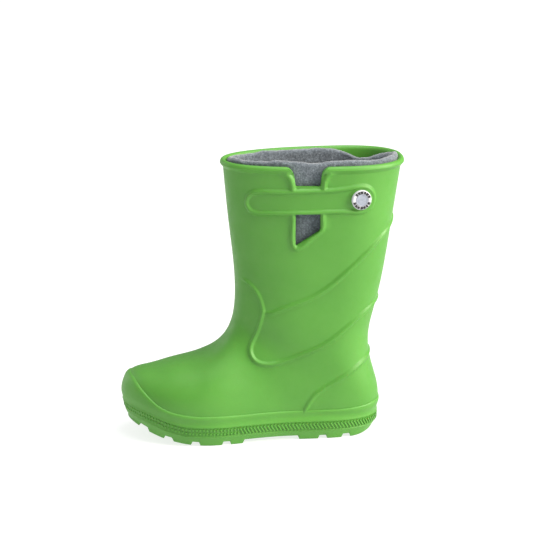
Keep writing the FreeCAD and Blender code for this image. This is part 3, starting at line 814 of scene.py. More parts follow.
@dataclass(frozen=True)
class FoamFinish:
    """Moulded foam rubber: an even colour, a satin skin, a fine grain and the faint flow of the mould."""

    name: str
    dark: tuple[float, float, float]
    light: tuple[float, float, float]
    satin: tuple[float, float] = (0.46, 0.60)
    grain: float = 0.00003
    pebble: float = 0.0

    def material(self) -> bpy.types.Material:
        """Builds the material."""
        paint = Paint(self.name)
        flow = paint.noise(22.0, 3.0, 0.55)
        colour = paint.ramp(flow, [(0.30, self.dark), (0.70, self.light)])
        rough = paint.remap(paint.noise(160.0, 3.0, 0.6), 0.3, 0.7, *self.satin)
        normal = paint.bump(paint.noise(2300.0, 2.0, 0.6), self.grain)
        normal = paint.bump(paint.noise(60.0, 1.0, 0.4), 0.00012, normal)
        if self.pebble:
            normal = paint.bump(paint.cells(700.0), self.pebble, normal)
        paint.set(IOR=1.5, Specular_IOR_Level=0.62, Subsurface_Weight=0.06, Subsurface_Scale=0.002)
        return paint.finish(colour, rough, normal)


@dataclass(frozen=True)
class FleeceFinish:
    """Brushed fleece: mottled short pile with a soft sheen."""

    name: str
    dark: tuple[float, float, float]
    middle: tuple[float, float, float]
    light: tuple[float, float, float]
    tuft: float = 620.0
    depth: float = 0.0006
    sheen: float = 0.5

    def material(self) -> bpy.types.Material:
        """Builds the material."""
        paint = Paint(self.name)
        pile = paint.noise(self.tuft, 4.0, 0.72)
        stops = [(0.30, self.dark), (0.50, self.middle), (0.70, self.light)]
        wide = paint.ramp(paint.noise(70.0, 2.0, 0.5), [(0.3, (0.80, 0.80, 0.82)), (0.7, (1.0, 1.0, 1.0))])
        colour = paint.multiply(paint.ramp(pile, stops), wide)
        rough = paint.remap(pile, 0.3, 0.7, 0.85, 1.0)
        normal = paint.bump(paint.noise(self.tuft * 1.7, 3.0, 0.7), self.depth)
        normal = paint.bump(paint.noise(self.tuft * 0.28, 2.0, 0.6), self.depth * 1.6, normal)
        paint.set(Specular_IOR_Level=0.15, Sheen_Weight=self.sheen, Sheen_Roughness=0.6)
        return paint.finish(colour, rough, normal)


@dataclass(frozen=True)
class HardFinish:
    """A small hard piece: lacquer, enamel or metal with fine brushing."""

    name: str
    dark: tuple[float, float, float]
    light: tuple[float, float, float]
    metal: float
    rough: tuple[float, float]
    scratch: float = 0.000008

    def material(self) -> bpy.types.Material:
        """Builds the material."""
        paint = Paint(self.name)
        colour = paint.ramp(paint.noise(500.0, 3.0, 0.6), [(0.3, self.dark), (0.7, self.light)])
        rough = paint.remap(paint.noise(900.0, 3.0, 0.65), 0.3, 0.7, *self.rough)
        normal = paint.bump(paint.noise(2600.0, 2.0, 0.6, (1.0, 1.0, 0.12)), self.scratch)
        paint.set(Metallic=self.metal, Coat_Weight=0.2, Coat_Roughness=0.18)
        return paint.finish(colour, rough, normal)


@dataclass(frozen=True)
class FloorFinish:
    """The studio's pale floor."""

    name: str = "studio_floor"
    glow: float = 0.78

    def material(self) -> bpy.types.Material:
        """Builds the material."""
        paint = Paint(self.name)
        stops = [(0.3, (0.31, 0.31, 0.31)), (0.7, (0.33, 0.33, 0.33))]
        colour = paint.ramp(paint.noise(3.0, 2.0, 0.5), stops)
        rough = paint.remap(paint.noise(40.0, 2.0, 0.5), 0.3, 0.7, 0.9, 1.0)
        paint.set(Specular_IOR_Level=0.1, Emission_Strength=self.glow)
        paint.shader.inputs["Emission Color"].default_value = (1.0, 1.0, 1.0, 1.0)
        return paint.finish(colour, rough, paint.bump(paint.noise(300.0, 2.0, 0.5), 0.00002))


class Finish(Enum):
    """Every finish of the boot, by the material slot or the piece that wears it."""

    SHELL = FoamFinish("shell_foam", (0.060, 0.250, 0.016), (0.072, 0.280, 0.021), pebble=0.00002)
    SOLE = FoamFinish("sole_foam", (0.064, 0.262, 0.018), (0.078, 0.296, 0.023), grain=0.00005)
    FLEECE = FleeceFinish("grey_fleece", (0.046, 0.058, 0.070), (0.102, 0.126, 0.147), (0.210, 0.248, 0.284))
    FELT = FleeceFinish("sole_felt", (0.070, 0.078, 0.086), (0.120, 0.132, 0.145), (0.190, 0.205, 0.220),
                        420.0, 0.0004, 0.2)
    RIM = HardFinish("rivet_enamel", (0.50, 0.51, 0.54), (0.60, 0.61, 0.64), 0.0, (0.18, 0.30))
    FACE = HardFinish("rivet_disc", (0.25, 0.275, 0.33), (0.34, 0.37, 0.44), 0.2, (0.34, 0.48), 0.00002)
    DASH = HardFinish("rivet_print", (0.004, 0.004, 0.006), (0.010, 0.010, 0.013), 0.0, (0.50, 0.65))
    BACK = HardFinish("rivet_steel", (0.45, 0.46, 0.48), (0.62, 0.63, 0.65), 1.0, (0.22, 0.38), 0.00002)


class Wardrobe:
    """Makes each finish's material once and puts it on pieces."""

    def __init__(self) -> None:
        """Starts with no material made."""
        self.made: dict[Finish, bpy.types.Material] = {}

    def dress(self, piece: bpy.types.Object, finish: Finish) -> None:
        """Gives a whole piece one finish."""
        if finish not in self.made:
            self.made[finish] = finish.value.material()
        if piece.material_slots:
            for slot in piece.material_slots:
                slot.material = self.made[finish]
        else:
            piece.data.materials.append(self.made[finish])


# --- Leg shell ------------------------------------------------------------------------------------


@dataclass
class LegShell:
    """The moulded leg shell: its skin inside and out, its ridges, strap, notch and window."""

    form: BootForm
    wall: float = 3.2
    crest: float = 228.0
    rim_rise: float = 3.0
    columns: int = 132
    fine_reach: tuple[float, float] = (5.5, 4.0)
    strap: tuple[float, float, float, float] = (-16.05, 86.4, 193.05, 213.85)
    strap_lift: float = 0.45
    strap_tilt: float = 0.032
    strap_swell: float = 0.18
    slot: tuple[float, float] = (23.65, 43.65)
    slot_high: tuple[float, float] = (192.2, 214.7)
    window_feet: tuple[float, float] = (165.2, 178.2)
    rivet_at: tuple[float, float, float] = (76.0, -35.932, 203.45)
    rivet_axis: tuple[float, float, float] = (0.1653, -0.9857, -0.0342)
    seat: float = 0.5
    seat_reach: float = 8.5

    def stadium(self, inset: float) -> list[tuple[float, float]]:
        """The strap's outline in side view, taken in by inset."""
        left, right, low, high = self.strap
        middle, radius = (low + high) / 2, (high - low) / 2
        arm = radius - inset
        found = []
        for centre, first in ((right - radius, -90.0), (left + radius, 90.0)):
            for i in range(9):
                angle = math.radians(first + 22.5 * i)
                found.append((centre + arm * math.cos(angle), middle + arm * math.sin(angle)))
        straights = ((high - inset, right - radius, left + radius),
                     (low + inset, left + radius, right - radius))
        for z, start, end in straights:
            span = [(start + (end - start) * share, z) for share in (0.14, 0.28, 0.42, 0.56, 0.70, 0.84)]
            at = 9 if z > middle else len(found)
            found[at:at] = span
        placed = []
        for x, z in found:
            share = 1 + self.strap_swell * eased(0.0, 1.0, (x - right + 3 * radius) / (2 * radius))
            tilt = (x - self.rivet_at[0]) * self.strap_tilt
            along = x + max(0.0, x - right + radius) * (share - 1)
            placed.append((along, middle + tilt + (z - middle) * share))
        return placed

    @staticmethod
    def on_side(points: Sequence[tuple[float, float]], side: Side, back: tuple[float, float] | None = None
                ) -> tuple[tuple[float, float, Side], ...]:
        """A ridge's places on one side, with an end point at the back of the boot if one is given."""
        placed = [(x, z, side) for x, z in points]
        return tuple(placed + [(*back, Side.BACK)] if back else placed)

    def ridges(self) -> list[Ridge]:
        """Every moulded bead on the outside of the shell."""
        front = [(-19.4, 134.7), (-15.7, 133.6), (-10.0, 129.6), (-5.4, 122.9), (-2.7, 115.3), (-1.7, 109.9)]
        upper = [(-1.7, 109.9), (2.0, 107.9), (9.5, 110.4), (19.7, 114.8), (40.9, 124.1), (64.2, 142.0),
                 (80.2, 156.4), (92.6, 167.7)]
        lower = [(-1.9, 109.9), (-5.6, 94.3), (-9.6, 84.5), (-12.1, 77.0), (-9.1, 69.2), (2.0, 65.6),
                 (15.7, 68.5), (29.3, 73.9), (43.1, 79.9), (56.9, 88.7), (68.7, 98.1), (80.9, 107.1)]
        counter = [(31.0, 23.7), (33.0, 28.1), (40.4, 39.6), (56.2, 49.8), (73.2, 60.2)]
        found = []
        for side in (Side.OUTER, Side.INNER):
            found.append(Ridge(self.on_side(front, side), 1.25, 2.1, fade_in=9.0))
            found.append(Ridge(self.on_side(upper, side, (107.7, 181.6)), 1.6, 2.4, fade_in=10.0))
            found.append(Ridge(self.on_side(lower, side, (93.5, 114.2)), 1.7, 2.3))
            found.append(Ridge(self.on_side(counter, side, (88.9, 69.4)), 1.3, 2.1))
        found.append(Ridge(self.on_side(self.stadium(1.6), Side.OUTER), 2.0, 2.6, closed=True))
        left, right = self.slot
        front_foot, back_foot = self.window_feet
        low, high = self.slot_high
        window = [(left - 2.1, low - 0.6), (left - 2.1, low - 10.0), (left - 2.1, front_foot + 3.2),
                  (left + 0.3, front_foot - 1.8), (left + 4.6, front_foot - 0.4),
                  ((left + right) / 2, (front_foot + back_foot) / 2 - 2.2), (right - 2.4, back_foot - 2.4),
                  (right + 1.5, back_foot + 1.4), (right + 2.1, low - 8.0), (right + 2.1, low - 0.6)]
        found.append(Ridge(self.on_side(window, Side.OUTER), 1.9, 2.5))
        for start, flare in ((left, -1.0), (right, 1.0)):
            edge = [(start + 2.4 * flare, high - 2.5), (start + 2.9 * flare, high + 3.0),
                    (start + 4.2 * flare, high + 6.8), (start + 6.2 * flare, high + 9.6),
                    (start + 9.6 * flare, high + 11.4), (start + 14.0 * flare, self.crest - 1.6)]
            found.append(Ridge(self.on_side(edge, Side.OUTER), 2.1, 2.9, fade_out=7.0))
        rim = []
        for angle in np.arange(48) * FULL_TURN / 48:
            spot = self.form.at(np.array([self.form.turn_at_height(self.crest)]), np.array([angle]))[0]
            side = Side.INNER if math.sin(angle) > 0 else Side.OUTER
            if abs(angle - math.pi) < 0.01:
                side = Side.BACK
            rim.append((spot[0], spot[2], side))
        found.append(Ridge(tuple(rim), 2.2, 3.4, closed=True))
        return found

    def rows(self) -> list[Row]:
        """The rows of the skin: up the outside, over the rim and down the inside."""
        crest = self.form.turn_at_height(self.crest)
        found = [Row(0.0, cover=1.0)]
        for start, end, count in ((0.05, 1.0, 22), (1.0, 2.0, 13), (2.0, 3.0, 64), (3.0, crest, 42)):
            found += [Row(turn, cover=1.0) for turn in spread(start, end, count)]
        for i in range(9):
            angle = math.pi * i / 8
            height = self.crest + self.rim_rise * math.sin(angle)
            found.append(Row(self.form.turn_at_height(height), 2.7 * math.cos(angle) - 0.5))
        for start, end, count in ((crest, 3.0, 30), (3.0, 2.0, 34), (2.0, 1.0, 7), (1.0, 0.05, 11)):
            found += [Row(turn, -self.wall) for turn in spread(start, end, count)][start == crest:]
        return found + [Row(0.05, -self.wall), Row(0.0, -self.wall)]

    def plateau(self, base: np.ndarray) -> np.ndarray:
        """How far the strap's face stands out at points of the form."""
        left, right, low, high = self.strap
        radius = (high - low) / 2
        nearest = np.clip(base[:, 0], left + radius, right - radius)
        middle = (low + high) / 2 + (nearest - self.rivet_at[0]) * self.strap_tilt
        inside = radius - np.hypot(base[:, 0] - nearest, base[:, 2] - middle)
        return np.where(base[:, 1] < 0, self.strap_lift * eased_all(inside / 1.6), 0.0)

    def seated(self, base: np.ndarray, height: np.ndarray) -> np.ndarray:
        """The relief with the rivet's flat seat worked into it."""
        axis = np.array(self.rivet_axis)
        away = base - np.array(self.rivet_at)
        along = away @ axis
        around = np.linalg.norm(away - along[:, None] * axis, axis=1)
        share = eased_all((self.seat_reach + 1.6 - around) / 1.6) * (base[:, 1] < 0)
        return height * (1 - share) + (self.seat - along) * share

    def build(self, wardrobe: Wardrobe) -> list[bpy.types.Object]:
        """Builds and dresses the shell.

        Args:
            wardrobe: the finishes' materials.

        Returns:
            The shell.
        """
        relief = Relief(self.form, self.ridges())
        skin = Skin(self.form, self.rows(), self.columns)
        for reach in self.fine_reach:
            skin.refine(lambda middles, reach=reach: relief.closeness(middles, 8.0) < reach)

        def heights(base: np.ndarray) -> np.ndarray:
            """How far the whole relief stands out at points of the form."""
            return self.seated(base, np.maximum(relief.heights(base), self.plateau(base)))

        skin.settle(heights)
        bmesh.ops.recalc_face_normals(skin.bm, faces=skin.bm.faces)
        shell = new_object("leg_shell", skin.bm)
        left, right = self.slot
        low, high = self.slot_high
        notch = [(left - 2.2, 231.3, 8.0), (left - 15.0, 231.5, 0.0), (left - 15.0, 240.0, 0.0),
                 (right + 15.0, 240.0, 0.0), (right + 15.0, 231.5, 0.0), (right + 1.6, 231.3, 8.0),
                 (right, high, 1.4), (left, high, 1.4)]
        front_foot, back_foot = self.window_feet
        window = [(left, low, 0.6), (right, low, 0.6), (right, back_foot, 2.6), (left, front_foot, 2.2)]
        cutters = (("notch_cutter", notch), ("window_cutter", window))
        cut_away(shell, [prism(name, corners, -60.0, -5.0) for name, corners in cutters])
        sharpen(shell, 38.0)
        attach(shell, "boot")
        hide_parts("upper_shell")
        wardrobe.dress(shell, Finish.SHELL)
        return [shell]


# --- Outsole --------------------------------------------------------------------------------------


@dataclass
class Outsole:
    """The cup sole: a wall round the foot with a lip on top, a ledge, a knurled band and a lugged tread."""

    form: BootForm
    foxing: float = 1.2
    wall_rise: float = 25.5
    bumper_rise: float = 51.0
    band_rise: float = 16.0
    band_height: float = 7.6
    band_inset: float = 1.5
    tread_inset: float = 5.2
    lug_depth: float = 3.3
    lug_gap: float = 7.0
    arch_lift: float = 3.6
    grooves: tuple[float, ...] = (0.920, 0.830, 0.728, 0.609, 0.233, 0.141)
    arch: tuple[float, float] = (0.546, 0.323)
    bar_pitch: float = 2.9
    bar_width: float = 1.7
    bar_lean: float = 33.0
    bar_proud: float = 0.9

    WALL_TOP = ((-0.1, 0.30), (0.0, 0.16), (0.07, 0.06), (0.2, 0.0), (0.5, 0.0), (0.70, 0.02), (0.80, 0.11),
                (0.857, 0.26), (0.896, 0.48), (0.934, 0.77), (0.962, 1.0), (1.03, 1.3))
    BAND_TOP = ((-0.1, 0.0), (0.2, 0.0), (0.6, 0.0), (0.75, 0.08), (0.83, 0.35), (0.892, 0.71), (0.948, 0.94),
                (1.03, 1.2))
    TREAD = ((-0.05, 0.63), (0.03, 0.283), (0.09, 0.04), (0.12, 0.0), (0.3, 0.0), (0.5, 0.0), (0.66, 0.0),
             (0.745, 0.08), (0.83, 0.33), (0.92, 0.80), (1.03, 1.55))
    FLOOR = ((-0.1, 0.0), (0.3, 0.0), (0.60, 0.0), (0.66, 0.0), (0.745, 0.10), (0.83, 0.40), (0.92, 1.0),
             (1.03, 1.9))

    def __post_init__(self) -> None:
        """Works out the outline in plan and the surface that the wall follows."""
        low = offset_right(self.form.plan, self.tread_inset, True)
        self.plan = np.roll(self.form.plan, -int(low[:, 0].argmax()), axis=0)
        self.plan = np.vstack([self.plan, self.plan[:1]])
        ring = self.plan[:-1]
        inward = offset_right(ring, 1.0, True) - ring
        self.inward = np.vstack([inward, inward[:1]])
        self.low = self.plan + self.tread_inset * self.inward
        self.toe = int(self.low[:, 0].argmin())
        rows = [Row(turn, self.foxing) for turn in [0.0] + spread(0.04, 3.0, 150) + [3.0, 4.0]]
        skin = Skin(self.form, rows, 150)
        self.surface = BVHTree.FromBMesh(skin.bm)
        skin.bm.free()

    def line(self, steps: Sequence[tuple[float, float]], x: float) -> float:
        """Reads a smooth line, given as shares of the length with their heights, at X."""
        shares = [share for share, _ in steps]
        at = float(self.form.share_at(np.array(x)))
        i = min(max(int(np.searchsorted(shares, at)) - 1, 0), len(steps) - 2)
        slopes = [(b[1] - a[1]) / (b[0] - a[0]) for a, b in zip(steps, steps[1:])]

        def tangent(k: int) -> float:
            """The line's slope at step k, which never overshoots."""
            before, after = slopes[max(k - 1, 0)], slopes[min(k, len(slopes) - 1)]
            return 0.0 if before * after <= 0 else 2 * before * after / (before + after)

        (a, low), (b, high) = steps[i], steps[i + 1]
        part, width = min(1.0, max(0.0, (at - a) / (b - a))), b - a
        squared, cubed = part ** 2, part ** 3
        return ((2 * cubed - 3 * squared + 1) * low + (cubed - 2 * squared + part) * width * tangent(i)
                + (3 * squared - 2 * cubed) * high + (cubed - squared) * width * tangent(i + 1))

    def wall_top(self, x: float) -> float:
        """The height of the wall's lip at X."""
        return self.wall_rise + (self.bumper_rise - self.wall_rise) * self.line(self.WALL_TOP, x)

    def band_top(self, x: float) -> float:
        """The height of the top of the knurled band at X."""
        return self.band_rise + self.form.toe_spring * self.line(self.BAND_TOP, x)

    def tread(self, x: float) -> float:
        """The height of the tread's lowest face at X."""
        return max(0.0, self.form.toe_spring * self.line(self.TREAD, x))

    def floor(self, x: float) -> float:
        """The height of the leg shell's underside at X."""
        return self.form.shell_floor + self.form.toe_spring * self.line(self.FLOOR, x)

    def lift(self, x: float) -> float:
        """How far the tread is cut away at X, by a groove or by the arch."""
        found = 0.0
        for share in self.grooves:
            away = abs(x - self.form.along(share))
            found = max(found, self.lug_depth * min(1.0, max(0.0, (self.lug_gap / 2 + 0.4 - away) / 1.3)))
        front, back = (self.form.along(share) for share in self.arch)
        inside = min(x - front, back - x)
        return max(found, self.arch_lift * eased(0.0, 1.0, inside / 1.5))

    def stations(self) -> list[float]:
        """X of every column along the tread's outline, from the heel to the toe."""
        heel, toe = float(self.low[0, 0]), float(self.low[self.toe, 0])
        quarter = [1 - math.cos(math.pi / 2 * i / 11) for i in range(12)]
        found = [heel - 16.0 * part for part in quarter] + [toe + 22.0 * part for part in quarter]
        edges = []
        for share in self.grooves:
            middle = self.form.along(share)
            for away in (self.lug_gap / 2 + 0.4, self.lug_gap / 2 - 0.25, self.lug_gap / 2 - 0.9):
                edges += [middle - away, middle + away]
        for share, way in zip(self.arch, (1, -1)):
            edges += [self.form.along(share) + way * part for part in (0.0, 0.75, 1.5)]
        between = [toe + 22.0 + (heel - 16.0 - toe - 22.0) * i / 58 for i in range(1, 58)]
        found = [x for x in found + between if all(abs(x - edge) > 0.7 for edge in edges)]
        return sorted(found + [edge for edge in edges if toe < edge < heel], reverse=True)

    def column(self, x: float, side: Side) -> tuple[np.ndarray, np.ndarray]:
        """The outline's point and inward direction above the tread's edge at X, on one side."""
        indices = np.arange(self.toe + 1)
        if side is Side.INNER:
            indices = np.arange(len(self.plan) - 1, self.toe - 1, -1)
        at = np.interp(-x, -self.low[indices, 0], np.arange(len(indices)))
        spot = [np.interp(at, np.arange(len(indices)), self.plan[indices, axis]) for axis in (0, 1)]
        way = [np.interp(at, np.arange(len(indices)), self.inward[indices, axis]) for axis in (0, 1)]
        return np.array(spot), np.array(way) / np.linalg.norm(way)

    def on_wall(self, spot: np.ndarray, way: np.ndarray, z: float, push: float) -> np.ndarray | None:
        """The wall's surface at height z behind a point of the outline, moved outwards by push."""
        start = Vector((*(spot - 25.0 * way), z))
        hit = self.surface.ray_cast(start, Vector((*way, 0.0)), 90.0)[0]
        return None if hit is None else np.array(hit) - push * np.array([*way, 0.0])

    def flank(self, spot: np.ndarray, way: np.ndarray, z: float, push: float, band: float
              ) -> np.ndarray | None:
        """The wall's surface at height z, eased out to the top of the band as it comes down to it."""
        place = self.on_wall(spot, way, z, push)
        if place is None:
            return None
        share = eased(0.0, 1.0, (band + 8.0 - z) / 7.0)
        edge = np.array([*(spot + (self.band_inset - 0.5 - push) * way), z])
        return place * (1 - share) + edge * share

    def lip_height(self, spot: np.ndarray, way: np.ndarray) -> float:
        """The height at which the wall's lip runs behind a point of the outline."""
        low, high = 18.0, 57.5
        for _ in range(22):
            middle = (low + high) / 2
            found = self.on_wall(spot, way, middle, 0.0)
            above = found is None or middle > self.wall_top(float(found[0]))
            low, high = (low, middle) if above else (middle, high)
        return low

    def side_rows(self, x: float, side: Side) -> tuple[list[np.ndarray], list[np.ndarray]]:
        """One column of the sole on one side.

        Args:
            x: the column's X at the tread's edge.
            side: the side.

        Returns:
            The points down the outside, from the hidden edge behind the lip to the tread's edge, and the
            hidden points down the inside.
        """
        spot, way = self.column(x, side)
        lip = self.lip_height(spot, way)
        band, tread = self.band_top(x), self.tread(x)
        rows = []
        for drop, push in ((1.6, -2.6), (-0.1, -2.2), (-0.35, -1.3), (-0.2, -0.95), (0.1, -0.62),
                           (0.5, -0.34), (1.0, -0.18), (1.8, -0.06), (2.8, 0.0)):
            rows.append(self.on_wall(spot, way, lip - drop, push))
        for part in (0.1, 0.28, 0.46, 0.64, 0.82, 1.0):
            rows.append(self.flank(spot, way, lip - 3.1 + (band + 3.0 - lip + 3.1) * part, 0.0, band))
        for rise, push in ((2.3, 0.0), (1.5, 0.06), (0.8, 0.22), (0.25, 0.16)):
            rows.append(self.flank(spot, way, band + rise, push, band))
        share = float(self.form.share_at(np.array(x)))
        toe_in = eased(0.0, 1.0, (share - 0.84) / 0.13) + eased(0.0, 1.0, (0.10 - share) / 0.13)
        base = band - self.band_height
        lugs = [(base - 0.9, 2.3 + 1.0 * toe_in)]
        for part, inset in ((0.35, 0.3), (0.7, 0.75)):
            height = base - 0.9 + (tread - base + 0.9) * part
            lugs.append((height, lugs[0][1] + inset * (self.tread_inset - 2.3)))
        plan_rows = [(band - 0.2, self.band_inset), (band - 0.6, self.band_inset + 0.2),
                     (band - self.band_height / 2, self.band_inset + 0.4 + 0.4 * toe_in),
                     (base, self.band_inset + 0.7 + 0.9 * toe_in), (base - 0.4, 2.0 + 1.0 * toe_in)]
        plan_rows += lugs + [(tread + 0.9, self.tread_inset - 0.5), (tread + 0.25, self.tread_inset - 0.1),
                             (tread, self.tread_inset + 0.7)]
        lowest = tread + self.lift(x)
        for z, inset in plan_rows:
            rows.append(np.array([*(spot + inset * way), max(z, lowest)]))
        for row in rows[-3:]:
            row[0] = x
        under = self.floor(x)
        levels = (lip - 4.0, (lip + under) / 2, under + 6.0, under + 3.2)
        inside = [self.on_wall(spot, way, z, -2.8) for z in levels]
        inside.append(np.array([*(spot + 13.0 * way), under + 1.6]))
        fallback = np.array([*(spot + 6.0 * way), under + 4.0])
        return ([fallback if row is None else row for row in rows],
                [fallback if row is None else row for row in inside])

    def loop(self, x: float) -> list[np.ndarray]:
        """The closed section of the sole above the tread's edge at X."""
        outer, outer_in = self.side_rows(x, Side.OUTER)
        inner, inner_in = self.side_rows(x, Side.INNER)
        under = []
        for share in (0.08, 0.2, 0.35, 0.5, 0.65, 0.8, 0.92):
            place = outer[-1] * (1 - share) + inner[-1] * share
            under.append(np.array([x, place[1], self.tread(x) + self.lift(x)]))
        bed = [inner_in[-1] * (1 - share) + outer_in[-1] * share for share in (0.25, 0.5, 0.75)]
        return outer + under + inner[::-1] + inner_in + bed + outer_in[::-1] + outer[:1]

    def build_sole(self) -> bpy.types.Object:
        """Builds the sole as one closed shape."""
        stations = self.stations()
        loops = [self.loop(x) for x in stations]
        for end in (loops[0], loops[-1]):
            rows = len(end)
            for i in range(rows):
                end[i] = end[i] * np.array([1.0, 0.0, 1.0]) + np.array([0.0, end[0][1], 0.0])
        bm = bmesh.new()
        bmesh.ops.create_grid(bm, x_segments=len(stations) - 1, y_segments=len(loops[0]) - 1, size=1.0)
        for vert in bm.verts:
            column = round((vert.co.x + 1) / 2 * (len(stations) - 1))
            row = round((vert.co.y + 1) / 2 * (len(loops[0]) - 1))
            vert.co = loops[column][row]
        bmesh.ops.remove_doubles(bm, verts=bm.verts, dist=0.02)
        bmesh.ops.dissolve_degenerate(bm, edges=bm.edges, dist=0.01)
        bmesh.ops.recalc_face_normals(bm, faces=bm.faces)
        return new_object("outsole_cup", bm)

    def build_bars(self) -> bpy.types.Object:
        """Builds the raised bars of the knurled band, which shorten to dots towards the toe."""
        lengths = np.linalg.norm(np.diff(self.plan, axis=0), axis=1)
        run = np.concatenate([[0.0], np.cumsum(lengths)])
        count = int(run[-1] / self.bar_pitch)
        bm = bmesh.new()
        for number in range(count):
            at = run[-1] * (number + 0.5) / count
            spot = np.array([np.interp(at, run, self.plan[:, axis]) for axis in (0, 1)])
            way = np.array([np.interp(at, run, self.inward[:, axis]) for axis in (0, 1)])
            share = float(self.form.share_at(spot[0]))
            toe_in = eased(0.0, 1.0, (share - 0.84) / 0.13)
            outer = 1 if way[1] > 0 else -1
            fade = 1 - 0.3 * eased(0.0, 1.0, (share - 0.86) / 0.12)
            dots = eased(0.0, 1.0, (share - 0.50) / 0.15)
            for middle, part in ((0.0, 1.0),) if share < 0.55 else ((0.25, 0.37), (-0.25, 0.37)):
                height = (self.band_height - 1.2) * part
                rise = middle * (self.band_height - 1.2)
                inset = self.band_inset + 0.4 - rise * 0.06 + (0.4 - rise * 0.13) * toe_in
                place = Vector((*(spot + inset * way), self.band_top(spot[0]) - self.band_height / 2 + rise))
                out = Vector((-way[0], -way[1], 0.10)).normalized()
                lean = math.radians(self.bar_lean) * outer * (1 - 0.7 * dots)
                up = Matrix.Rotation(lean, 3, out) @ Vector((0, 0, 1))
                across = up.cross(out).normalized()
                frame = Matrix((across, out, up)).transposed().to_4x4()
                self._bar(bm, Matrix.Translation(place) @ frame, height, self.bar_proud * fade)
        return new_object("sole_knurls", bm)

    def _bar(self, bm: bmesh.types.BMesh, frame: Matrix, height: float, proud: float) -> None:
        """Adds one bar, narrower outside than at its root."""
        verts = bmesh.ops.create_cube(bm, size=1.0)["verts"]
        for vert in verts:
            narrow = 0.62 if vert.co.y > 0 else 1.0
            vert.co.x *= self.bar_width * narrow
            vert.co.z *= height - (1.0 - narrow) * 2.0
            vert.co.y = proud if vert.co.y > 0 else -0.6
        bmesh.ops.transform(bm, matrix=frame, verts=verts)

    def build(self, wardrobe: Wardrobe) -> list[bpy.types.Object]:
        """Builds and dresses the sole and its knurls.

        Args:
            wardrobe: the finishes' materials.

        Returns:
            The sole and the knurls.
        """
        sole, bars = self.build_sole(), self.build_bars()
        sharpen(sole, 42.0)
        sharpen(bars, 30.0)
        for piece in (sole, bars):
            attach(piece, "boot")
            wardrobe.dress(piece, Finish.SOLE)
        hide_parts("outsole")
        return [sole, bars]


# --- Liner ----------------------------------------------------------------------------------------


